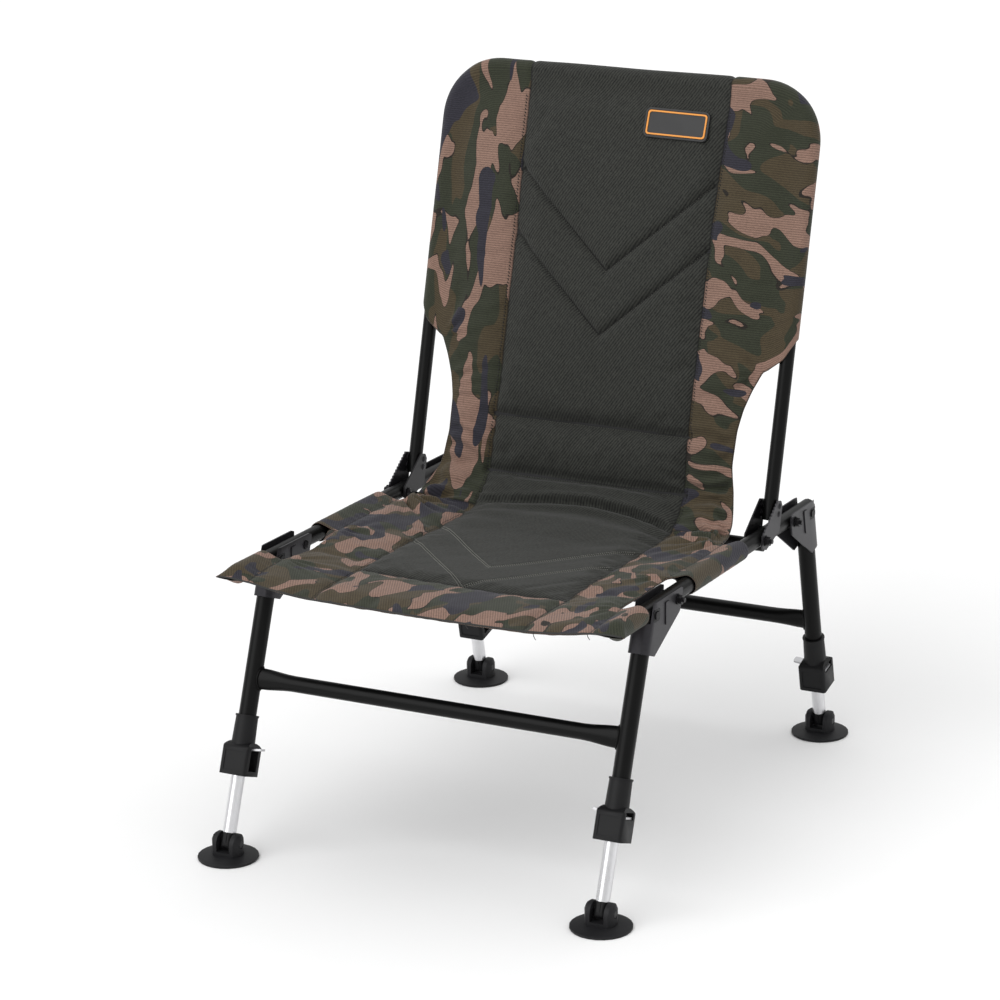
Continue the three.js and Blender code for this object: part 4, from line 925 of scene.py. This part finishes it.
class Surface:
    """Finds points on the front of the finished cover by their place in the cloth."""

    def __init__(self, item, grid):
        data = item.data
        lining = PANELS.index("lining")
        faces = [polygon.vertices[:] for polygon in data.polygons if polygon.material_index != lining]
        self.tree = BVHTree.FromPolygons([vertex.co for vertex in data.vertices], faces)
        self.v = grid
        count = 2 * (CENTRE_COLUMNS + SIDE_COLUMNS) + 1
        spots = [data.vertices[2 * k].co for k in range(count * len(grid))]
        self.rows = [spots[first : first + count] for first in range(0, len(spots), count)]

    def rough(self, u, v):
        row = float(np.interp(v, self.v, range(len(self.v))))
        near = min(int(row), len(self.v) - 2)
        spots = []
        for index in (near, near + 1):
            line = columns(self.v[index])
            place = float(np.interp(u, line, range(len(line))))
            first = min(int(place), len(line) - 2)
            spots.append(self.rows[index][first].lerp(self.rows[index][first + 1], place - first))
        return spots[0].lerp(spots[1], row - near)

    def at(self, u, v):
        """A point on the cloth and the way it faces."""
        rough = self.rough(u, v)
        way = Vector(profile.normal(v))
        place, facing, _, _ = self.tree.ray_cast(rough + way * THREAD_RAY, -way, THREAD_RAY_LENGTH)
        if place is None:
            place, facing, _, _ = self.tree.find_nearest(rough)
        if facing.dot(way) < 0:
            facing = -facing
        return place, facing


surface = Surface(cover, cover_cut.v)


def spindle(shape, start, end, facing, radius, sides=5):
    """One stitch: a thread that dips into the cloth at both ends."""
    along = (end - start).normalized()
    across = along.cross(facing).normalized()
    high = across.cross(along)
    middle = (start + end) / 2 + facing * radius * 0.6
    tips = [shape.verts.new(start - facing * radius * 0.3), shape.verts.new(end - facing * radius * 0.3)]
    rings = []
    for share in (-0.3, 0.3):
        ring = []
        for k in range(sides):
            angle = math.tau * k / sides
            out = (across * math.cos(angle) + high * math.sin(angle)) * radius
            ring.append(shape.verts.new(middle + (end - start) * share + out))
        rings.append(ring)
    for k in range(sides):
        after = (k + 1) % sides
        shape.faces.new([tips[0], rings[0][after], rings[0][k]])
        shape.faces.new([rings[0][k], rings[0][after], rings[1][after], rings[1][k]])
        shape.faces.new([rings[1][k], rings[1][after], tips[1]])


def path_points(line, step):
    """Places along a line of cloth points, a step apart."""
    line = np.array(line)
    lengths = np.concatenate([[0.0], np.cumsum(np.linalg.norm(np.diff(line, axis=0), axis=1))])
    stops = np.arange(0.0, lengths[-1], step)
    return [tuple(np.interp(stop, lengths, line[:, axis]) for axis in range(2)) for stop in stops]


def stitched(shape, line, slant, pitch, radius):
    """A row of stitches along a line on the cloth. A slant turns each one, as overlock does."""
    spots = path_points(line, pitch)
    for start, after in zip(spots, spots[1:]):
        step = np.array(after) - np.array(start)
        side = np.array([-step[1], step[0]]) * slant
        end = np.array(start) + step * STITCH_SHARE + side
        place_a, facing_a = surface.at(*(np.array(start) - side))
        place_b, facing_b = surface.at(*end)
        facing = (facing_a + facing_b).normalized()
        spindle(shape, place_a, place_b, facing, radius)


def piece_from(name, shape, material, smooth_faces=True):
    data = bpy.data.meshes.new(name)
    bmesh.ops.recalc_face_normals(shape, faces=shape.faces)
    shape.to_mesh(data)
    data.materials.append(material)
    if smooth_faces:
        for face in data.polygons:
            face.use_smooth = True
    return object_from(name, data)


def seam_path(side, low, high, shift):
    stops = np.linspace(low, high, 60)
    return [(side * (along_table(SEAM_LINE, v) + shift), v) for v in stops]


def line_from_tip(tip, side, step, seam, shift):
    end = tip + step * CENTRE_COLUMNS
    return [(0.0, tip + shift), (side * (seam - SEAM_CLEARANCE), end + shift)]


def across_panel(v, shift):
    width = along_table(SEAM_LINE, v) - THREAD_END
    return [(-width, v + shift), (width, v + shift)]


def linear(level):
    share = level / 255
    return share / 12.92 if share <= 0.04045 else ((share + 0.055) / 1.055) ** 2.4


def colour(red, green, blue):
    return (linear(red), linear(green), linear(blue), 1.0)


class Shade:
    """A material whose nodes are added one call at a time. Values may be numbers or sockets."""

    def __init__(self, name, roughness=0.5, metallic=0.0, specular=0.5):
        self.material = bpy.data.materials.get(name) or bpy.data.materials.new(name)
        self.material.use_nodes = True
        self.tree = self.material.node_tree
        self.tree.nodes.clear()
        output = self.tree.nodes.new("ShaderNodeOutputMaterial")
        self.surface = self.tree.nodes.new("ShaderNodeBsdfPrincipled")
        self.tree.links.new(self.surface.outputs["BSDF"], output.inputs["Surface"])
        self.coat(roughness=roughness, metallic=metallic)
        self.surface.inputs["Specular IOR Level"].default_value = specular

    def plug(self, socket, value):
        if isinstance(value, bpy.types.NodeSocket):
            self.tree.links.new(value, socket)
        else:
            socket.default_value = value

    def coat(self, **values):
        for name, value in values.items():
            self.plug(self.surface.inputs[name.replace("_", " ").title()], value)

    def node(self, kind, inputs, output=0, **settings):
        """Adds a node: its settings, its inputs by name or number, and the output that is used."""
        node = self.tree.nodes.new(kind)
        for name, value in settings.items():
            setattr(node, name, value)
        for socket, value in inputs.items():
            self.plug(node.inputs[socket], value)
        return node.outputs[output]

    def math(self, operation, *values):
        return self.node("ShaderNodeMath", dict(enumerate(values)), operation=operation)

    def vector(self, operation, *values):
        return self.node("ShaderNodeVectorMath", dict(enumerate(values)), operation=operation)

    def weighed(self, *pairs, extra=0.0):
        """The sum of values, each times its weight."""
        products = [self.math("MULTIPLY", value, weight) for value, weight in pairs]
        total = products[0]
        for product in products[1:]:
            total = self.math("ADD", total, product)
        return self.math("ADD", total, extra)

    def wave(self, along, pitch):
        return self.math("SINE", self.math("MULTIPLY", along, math.tau / pitch))

    def above(self, value, level):
        return self.math("GREATER_THAN", value, level)

    def attribute(self, name, output):
        return self.node("ShaderNodeAttribute", {}, output, attribute_name=name)

    def flat(self):
        return self.attribute("flat", "Vector")

    def sewn(self):
        """The share of painted seam shade: one on a sewn line, falling to nothing beside it."""
        away = self.math("ABSOLUTE", self.attribute("line_gap", "Fac"))
        ends = dict(enumerate((away, SEAM_SHADE_NARROW, SEAM_SHADE_WIDE, 1.0, 0.0)))
        return self.node("ShaderNodeMapRange", ends, interpolation_type="SMOOTHSTEP")

    def parts(self, vector):
        node = self.tree.nodes.new("ShaderNodeSeparateXYZ")
        self.plug(node.inputs[0], vector)
        return node.outputs

    def noise(self, vector, scale, detail=2.0, roughness=0.5, distortion=0.0):
        looks = {"Scale": scale, "Detail": detail, "Roughness": roughness, "Distortion": distortion}
        return self.node("ShaderNodeTexNoise", {"Vector": vector, **looks})

    def mix(self, share, first, second):
        return self.node("ShaderNodeMix", {0: share, 6: first, 7: second}, 2, data_type="RGBA")

    def bump(self, height, distance, strength=1.0):
        looks = {"Strength": strength, "Distance": distance, "Height": height}
        self.coat(normal=self.node("ShaderNodeBump", looks))

    def tint(self, base, share):
        """Sets the base colour, made lighter or darker by a share around one."""
        shares = self.node("ShaderNodeCombineXYZ", {0: share, 1: share, 2: share})
        self.coat(base_color=self.vector("MULTIPLY", base, shares))

    def seam_shaded(self, level):
        """The level, less of it on the sewn lines: painted shade where the seam valleys fall into shadow."""
        kept = self.math("SUBTRACT", 1.0, self.math("MULTIPLY", self.sewn(), SEAM_SHADE_STRENGTH))
        return self.math("MULTIPLY", level, kept)

    def sheen(self, weight):
        self.coat(sheen_weight=weight, sheen_roughness=0.5)


TAN = colour(127, 101, 89)
OLIVE_BROWN = colour(66, 57, 41)
DARK_GREEN = colour(45, 48, 36)
CHARCOAL = colour(42, 41, 49)
OUTLINE = colour(34, 30, 25)
CENTRE_CLOTH = colour(42, 43, 39)
LINING_CLOTH = colour(26, 26, 27)


def woven(shade, place, way=(0.0, 1.0)):
    """Fine ribs across the cloth, broken into threads."""
    u, v, _ = shade.parts(place)
    rib = shade.wave(shade.weighed((u, way[0]), (v, way[1])), RIB_PITCH)
    thread = shade.wave(shade.weighed((u, way[1]), (v, -way[0])), RIB_PITCH * 0.9)
    return shade.weighed((rib, 0.36), (shade.math("MULTIPLY", rib, thread), 0.14), extra=0.5)


def twilled(shade, place):
    """Steep diagonal ribs made of short floats."""
    u, v, _ = shade.parts(place)
    rib = shade.wave(shade.weighed((u, 0.83), (v, -0.55)), TWILL_PITCH)
    speckle = shade.noise(place, 420.0, 1.0)
    melange = shade.noise(shade.vector("MULTIPLY", place, (1.0, 0.45, 1.0)), 300.0, 1.0)
    return shade.weighed((rib, 0.42), (speckle, 0.9), (melange, 0.8), extra=-0.3)


def camouflage(name, stretch_by, shift, turn=0.0, rib_way=(0.0, 1.0)):
    """Woodland blobs in four colours, stretched one way or the other in each panel."""
    shade = Shade(name, roughness=0.86, specular=0.25)
    place = shade.flat()
    turned = shade.node("ShaderNodeVectorRotate", {"Angle": turn, "Vector": place}, rotation_type="Z_AXIS")
    cut = shade.vector("ADD", shade.vector("MULTIPLY", turned, stretch_by), shift)
    edge = shade.math("MULTIPLY", shade.noise(place, 500.0, 1.0), 0.005)
    drab = shade.noise(cut, 16.0, 1.0, 0.4, 0.6)
    tan = shade.noise(shade.vector("ADD", cut, (3.1, 0.7, 0.4)), 20.0, 1.0, 0.4, 0.8)
    dark = shade.noise(shade.vector("ADD", cut, (7.3, 4.1, 1.9)), 15.0, 0.8, 0.4, 0.9)
    tan, dark = shade.math("ADD", tan, edge), shade.math("ADD", dark, edge)
    printed = shade.mix(shade.above(drab, 0.5), OLIVE_BROWN, DARK_GREEN)
    dyes = [(tan, TAN_AT - TAN_OUTLINE, OUTLINE), (tan, TAN_AT, TAN), (dark, CHARCOAL_AT, CHARCOAL)]
    for blobs, level, dye in dyes:
        printed = shade.mix(shade.above(blobs, level), printed, dye)
    weave = woven(shade, place, rib_way)
    speckle, fade = shade.noise(place, 380.0, 1.0), shade.noise(place, 60.0)
    level = shade.weighed((weave, 0.7), (speckle, 0.6), (fade, 0.24), extra=0.22)
    # The printed colour gets painted shade along the sewn lines, for the shadow in the seam valleys
    shade.tint(printed, shade.seam_shaded(level))
    shade.sheen(0.12)
    shade.bump(weave, WEAVE_BUMP, 0.8)


def centre_cloth(name):
    shade = Shade(name, roughness=0.82, specular=0.3)
    place = shade.flat()
    height = twilled(shade, place)
    level = shade.weighed((height, 1.25), (shade.noise(place, 35.0), 0.24), extra=0.06)
    # The centre cloth gets painted shade along the sewn lines, for the shadow in the seam valleys
    shade.tint(CENTRE_CLOTH[:3], shade.seam_shaded(level))
    shade.sheen(0.1)
    shade.bump(height, WEAVE_BUMP, 0.7)


def lining_cloth(name):
    shade = Shade(name, roughness=0.7, specular=0.35)
    place = shade.flat()
    height = woven(shade, shade.vector("MULTIPLY", place, (2.0, 2.0, 2.0)))
    level = shade.weighed((height, 0.4), (shade.noise(place, 20.0, 3.0), 0.3), extra=0.65)
    shade.tint(LINING_CLOTH[:3], level)
    shade.bump(height, LINING_BUMP, 0.6)


camouflage("back_left", (1.55, 0.5, 1.0), (0.4, 0.0, 0.3))
camouflage("back_right", (0.7, 1.3, 1.0), (2.0, 1.0, 1.3), 0.35)
camouflage("seat_left", (1.1, 1.0, 1.0), (5.0, 3.0, 2.1), 0.5, SEAT_RIBS)
camouflage("seat_right", (1.2, 0.9, 1.0), (8.0, 2.0, 3.3), -0.4, SEAT_RIBS)
camouflage("seat_front", (1.3, 0.95, 1.0), (4.0, 6.0, 4.7), 0.2, SEAT_RIBS)
centre_cloth("centre")
lining_cloth("lining")


def plain(name, tint, vary, roughness, metallic=0.0, grain=600.0, depth=GRAIN, specular=0.5, streak=EVEN,
          rough_vary=0.15):
    """A finish with fine grain: colour, roughness and surface all vary a little."""
    shade = Shade(name, metallic=metallic, specular=specular)
    place = shade.vector("MULTIPLY", shade.node("ShaderNodeTexCoord", {}, "Object"), streak)
    fine = shade.noise(place, grain, 3.0, 0.6)
    broad = shade.noise(place, grain / 18, 3.0, 0.55)
    shade.tint(colour(*tint)[:3], shade.weighed((fine, vary), (broad, vary), extra=1.0 - vary))
    shade.coat(roughness=shade.weighed((broad, rough_vary), extra=roughness - rough_vary / 2))
    shade.bump(fine, depth, 0.6)
    return shade.material


FINISHES = {
    "tube_paint": plain("satin_powder_coat", (9, 9, 9), 0.3, 0.34, 0.0, 900.0, PAINT_GRAIN, 0.14),
    "pressed_steel": plain("pressed_plate", (52, 51, 54), 0.35, 0.38, 0.5, 260.0, GRAIN, 0.2),
    "dark_steel": plain("blackened_plate", (26, 25, 27), 0.3, 0.36, 0.3, 400.0, GRAIN, 0.2),
    "zinc_steel": plain("zinc_plate", (186, 186, 188), 0.3, 0.3, 0.75, 500.0),
    "bare_aluminium": plain("drawn_aluminium", (222, 222, 224), 0.25, 0.3, 1.0, 500.0, streak=DRAWN,
                            rough_vary=0.2),
    "black_plastic": plain("moulded_plastic", (22, 22, 23), 0.3, 0.48, 0.0, 800.0, MOULD_GRAIN, 0.2),
    "foot_plastic": plain("foot_plastic", (26, 26, 28), 0.3, 0.55, 0.0, 700.0, FOOT_GRAIN, 0.25),
}


def rounded_shading():
    """Joins the vertices that each face keeps to itself, so curved walls shade smoothly."""
    tree = bpy.data.node_groups.new("rounded_shading", "GeometryNodeTree")
    tree.interface.new_socket("Geometry", in_out="INPUT", socket_type="NodeSocketGeometry")
    tree.interface.new_socket("Geometry", in_out="OUTPUT", socket_type="NodeSocketGeometry")
    start, end, bare, merged, angle, gentle, edges, faces = [tree.nodes.new(kind) for kind in (
        "NodeGroupInput", "NodeGroupOutput", "GeometryNodeRemoveAttribute", "GeometryNodeMergeByDistance",
        "GeometryNodeInputMeshEdgeAngle", "FunctionNodeCompare", "GeometryNodeSetShadeSmooth",
        "GeometryNodeSetShadeSmooth",
    )]
    bare.inputs["Name"].default_value = "custom_normal"
    merged.inputs["Distance"].default_value = MERGE_WITHIN
    gentle.data_type = "FLOAT"
    gentle.operation = "LESS_EQUAL"
    gentle.inputs["B"].default_value = SHARP_ANGLE
    edges.domain = "EDGE"
    faces.domain = "FACE"
    faces.inputs["Shade Smooth"].default_value = True
    chain = [start, bare, merged, faces, edges, end]
    for before, after in zip(chain, chain[1:]):
        tree.links.new(before.outputs[0], after.inputs[0])
    tree.links.new(angle.outputs["Unsigned Angle"], gentle.inputs["A"])
    tree.links.new(gentle.outputs["Result"], edges.inputs["Shade Smooth"])
    return tree


rounding = rounded_shading()
for node in frame["nodes"].values():
    for place in node.material_slots:
        place.material = FINISHES.get(place.material.name.split(".")[0], place.material)
    node.modifiers.new("rounded_shading", "NODES").node_group = rounding


def thread(name, tint, vary=0.5, roughness=0.75):
    return plain(name, tint, vary, roughness, grain=900.0)


def sewn_on(item):
    """A piece of the cover: its place is put into its vertices, as the cover's is."""
    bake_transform(item)


def cord(shape, points, radius, closed=False):
    """A round cord along a line of points."""
    rings, across = [], None
    count = len(points)
    turns = [math.tau * turn / CORD_SIDES for turn in range(CORD_SIDES)]
    for k, point in enumerate(points):
        before = points[k - 1] if closed or k else points[0]
        after = points[(k + 1) % count] if closed or k < count - 1 else points[-1]
        along = (after - before).normalized()
        across = across - along * across.dot(along) if rings else along.orthogonal()
        across = across.normalized()
        high = along.cross(across)
        spots = [point + (across * math.cos(turn) + high * math.sin(turn)) * radius for turn in turns]
        rings.append([shape.verts.new(spot) for spot in spots])
    pairs = list(zip(rings, rings[1:] + rings[:1])) if closed else list(zip(rings, rings[1:]))
    for ring, following in pairs:
        for k in range(CORD_SIDES):
            after = (k + 1) % CORD_SIDES
            shape.faces.new([ring[k], ring[after], following[after], following[k]])
    if not closed:
        shape.faces.new(rings[0][::-1])
        shape.faces.new(rings[-1])


def front_edge():
    """The cloth's front edge, from one flattened sleeve's tip to the other's."""
    flat_places, spots = attribute(cover.data, "flat", 3), of_vertices(cover.data)
    on_edge = (np.abs(flat_places[:, 1]) < CELL * 0.1) & (flat_places[:, 2] < 0.1)
    on_edge &= np.abs(flat_places[:, 0]) <= RAIL_X - SLEEVE_INSET + FRONT_TIP_LENGTH
    kept = {round(float(spot[0]), 4): Vector(spot) for spot in spots[on_edge]}
    ordered = [kept[x] for x in sorted(kept)]
    return ordered[::2] + ordered[-1:]


# Stitching, hem, welds and badge
dark_thread = thread("dark_thread", (40, 40, 38))
seams_up = [(V_LUMBAR_LOW, V_TOP - THREAD_END, SEAM_THREAD_SHIFT)]
seams_up.append((V_CREASE + THREAD_END, V_LUMBAR_LOW, WAIST_THREAD_SHIFT))
seam_lines, quilt_lines, seat_lines, side_lines = [], [], [], []
for side in SIDES.values():
    seam_lines += [seam_path(side, *stretch_up) for stretch_up in seams_up]
    for tip in (V_CHEVRON_LOW, V_CHEVRON_HIGH):
        quilt_lines.append(line_from_tip(tip, side, CHEVRON_STEP, BACK_SEAM, QUILT_THREAD_SHIFT))
    for tip in (V_BAND, V_VEE_HIGH):
        for shift in (-SEAT_THREAD_SHIFT, SEAT_THREAD_SHIFT):
            seat_lines.append(line_from_tip(tip, side, VEE_STEP, SEAT_SEAM, shift))
    side_lines.append(seam_path(side, THREAD_END, V_CREASE - SIDE_THREAD_END, SIDE_THREAD_SHIFT))
quilt_lines += [across_panel(line, LUMBAR_THREAD_SHIFT) for line in (V_LUMBAR_LOW, V_LUMBAR_HIGH)]
side_lines += [across_panel(V_BAND, shift) for shift in (-BAND_THREAD_SHIFT, BAND_THREAD_SHIFT)]
STITCHING = [
    ("back_seam_stitches", seam_lines, OVERLOCK, thread("thread", (22, 21, 20), 0.5, 0.7)),
    ("quilting_stitches", quilt_lines, PLAIN_STITCH, thread("faint_thread", (66, 66, 61))),
    # The seat thread's pale colour is partly its own and partly a painted highlight, for the light its raised
    # stitches catch
    ("seat_stitches", seat_lines, SEAT_STITCH, thread("seat_thread_with_painted_highlight", (116, 116, 110), 0.3)),
    ("side_seam_stitches", side_lines, PLAIN_STITCH, dark_thread),
]
for name, lines, stitch, material in STITCHING:
    stitches = bmesh.new()
    for line in lines:
        stitched(stitches, line, *stitch)
    sewn_on(piece_from(name, stitches, material))

hem_shape = bmesh.new()
hem_line = [spot - Vector(along_rail) * HEM_RADIUS * 0.5 for spot in front_edge()]
cord(hem_shape, hem_line, HEM_RADIUS)
for share, reach in TAILS:
    root = hem_line[int(len(hem_line) * share)]
    ways = zip(TAIL_SIDE, (reach * 0.5, reach))
    tail = [root] + [root + Vector((aside, TAIL_AHEAD, -drop)) for aside, drop in ways]
    cord(hem_shape, tail, HEM_RADIUS * 0.4)
sewn_on(piece_from("front_hem_binding", hem_shape, dark_thread))

for end in ("front", "rear"):
    bar_low, bar_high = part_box(f"{end}_crossbar")
    leg_low, leg_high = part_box(f"{end}_right_leg_tube")
    leg_x = (leg_low.x + leg_high.x) / 2
    leg_radius = (leg_high.x - leg_low.x) / 2
    slide = np.array(joints[f"{end}_right_leg_slide"]["axis"])
    down = slide / np.linalg.norm(slide)
    forward = np.array([0.0, -down[2], down[1]])
    middle = np.array([0.0, (bar_low.y + bar_high.y) / 2, (bar_low.z + bar_high.z) / 2])
    weld_shape = bmesh.new()
    for side in SIDES.values():
        points = []
        for step in range(WELD_STEPS):
            angle = math.tau * step / WELD_STEPS
            rough = 1 + WELD_ROUGH * math.sin(step * 2.4)
            over = WELD_WIDE * math.cos(angle) * rough
            reach = math.sqrt(leg_radius**2 - over**2)
            spot = middle + down * WELD_TALL * math.sin(angle) * rough + forward * over
            aside = side * (leg_x - reach - WELD_RADIUS * 0.3)
            points.append(Vector(spot) + Vector((aside, 0.0, 0.0)))
        cord(weld_shape, points, WELD_RADIUS, closed=True)
    weld = piece_from(f"{end}_crossbar_welds", weld_shape, FINISHES["tube_paint"])
    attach(weld, f"{end}_legs")


def rounded_outline(radius, inset):
    """The badge's outline, drawn in by the inset, in the cloth's own places."""
    centre = [(low + high) / 2 for low, high in (BADGE_U, BADGE_V)]
    half = [(high - low) / 2 - inset - radius for low, high in (BADGE_U, BADGE_V)]
    spots = []
    for quarter, sign in enumerate([(1, 1), (-1, 1), (-1, -1), (1, -1)]):
        for step in range(CORNER_STEPS + 1):
            angle = math.pi / 2 * (quarter + step / CORNER_STEPS)
            spots.append((centre[0] + sign[0] * half[0] + radius * math.cos(angle),
                          centre[1] + sign[1] * half[1] + radius * math.sin(angle)))
    return spots


class Badge:
    """A bare moulded patch that lies on the cloth."""

    def __init__(self):
        corners = [(u, v) for u in BADGE_U for v in BADGE_V]
        spots = [surface.at(*corner)[0] for corner in corners]
        self.origin = sum(spots, Vector()) / 4
        self.across = ((spots[2] + spots[3]) - (spots[0] + spots[1])).normalized()
        up = ((spots[1] + spots[3]) - (spots[0] + spots[2])).normalized()
        self.facing = self.across.cross(up).normalized()
        self.up = self.facing.cross(self.across)
        if self.facing.y > 0:
            self.facing = -self.facing
        self.centre = (sum(BADGE_U) / 2, sum(BADGE_V) / 2)
        places = [surface.at(u, v)[0] for u in np.linspace(*BADGE_U, 9) for v in np.linspace(*BADGE_V, 6)]
        rise = max((place - self.origin).dot(self.facing) for place in places)
        self.top = BADGE_THICKNESS + rise

    def at(self, spot, high):
        u, v = spot[0] - self.centre[0], spot[1] - self.centre[1]
        return self.origin + self.across * u + self.up * v + self.facing * high

    def rings(self, shape, steps, tightest):
        """Joins a stack of outlines, each with its inset and height, from the first to the last."""
        loops = []
        for inset, height in steps:
            outline = rounded_outline(max(BADGE_CORNER - inset, tightest), inset)
            loops.append([shape.verts.new(self.at(spot, height)) for spot in outline])
        for low, high in zip(loops, loops[1:]):
            for k in range(len(low)):
                after = (k + 1) % len(low)
                shape.faces.new([low[k], low[after], high[after], high[k]])
        return loops

    def plate(self):
        shape = bmesh.new()
        steps = [(0.0, BADGE_SUNK)] + [(inset, self.top - drop) for inset, drop in BADGE_STEPS]
        loops = self.rings(shape, steps, BADGE_TIGHTEST[0])
        shape.faces.new(loops[0][::-1])
        shape.faces.new(loops[-1])
        rubber = plain("badge_rubber", (24, 24, 25), 0.3, 0.5, grain=900.0, depth=RUBBER_GRAIN)
        return piece_from("badge_plate", shape, rubber, False)

    def border(self):
        shape = bmesh.new()
        low, high = self.top - BADGE_LINE_FOOT, self.top + BADGE_LINE_RISE
        near, far = BADGE_LINE_INSET, BADGE_LINE_INSET + BADGE_LINE_WIDTH
        steps = [(near, low), (near + BADGE_LINE_BEVEL, high), (far - BADGE_LINE_BEVEL, high), (far, low)]
        self.rings(shape, steps + steps[:1], BADGE_TIGHTEST[1])
        bmesh.ops.remove_doubles(shape, verts=shape.verts, dist=MERGE_WITHIN)
        orange = plain("badge_orange", (226, 146, 48), 0.2, 0.45, grain=700.0, depth=BORDER_GRAIN)
        return piece_from("badge_border", shape, orange, False)


badge = Badge()
for item in (badge.plate(), badge.border()):
    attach(item, "backrest")

# Floor, camera and light
floor_paint = plain("pale_floor", (250, 250, 250), 0.01, 0.8, grain=30.0, depth=FLOOR_GRAIN)
floor_shape = bmesh.new()
bmesh.ops.create_grid(floor_shape, x_segments=2, y_segments=2, size=FLOOR_SIZE / 2)
floor = piece_from("floor", floor_shape, floor_paint)

camera_data = bpy.data.cameras.new("camera")
camera_data.sensor_width = SENSOR_WIDTH
camera_data.lens = CAMERA_LENS
camera = object_from("camera", camera_data)
camera.location = CAMERA_PLACE
camera.rotation_mode = "QUATERNION"
aim = (CAMERA_LOOK - CAMERA_PLACE).to_track_quat("-Z", "Y")
camera.rotation_quaternion = aim @ Matrix.Rotation(CAMERA_ROLL, 3, "Z").to_quaternion()
bpy.context.scene.camera = camera

for name, way, softness, strength in LIGHTS:
    lamp = bpy.data.lights.new(name, "SUN")
    lamp.energy = strength
    lamp.angle = math.radians(softness)
    light = object_from(name, lamp)
    light.rotation_mode = "QUATERNION"
    light.rotation_quaternion = (-Vector(way)).to_track_quat("-Z", "Y")
world = bpy.data.worlds.new("studio")
bpy.context.scene.world = world
world.use_nodes = True
background = world.node_tree.nodes["Background"]
background.inputs["Color"].default_value = (1, 1, 1, 1)
background.inputs["Strength"].default_value = WORLD_STRENGTH
bpy.context.scene.view_settings.view_transform = "Standard"
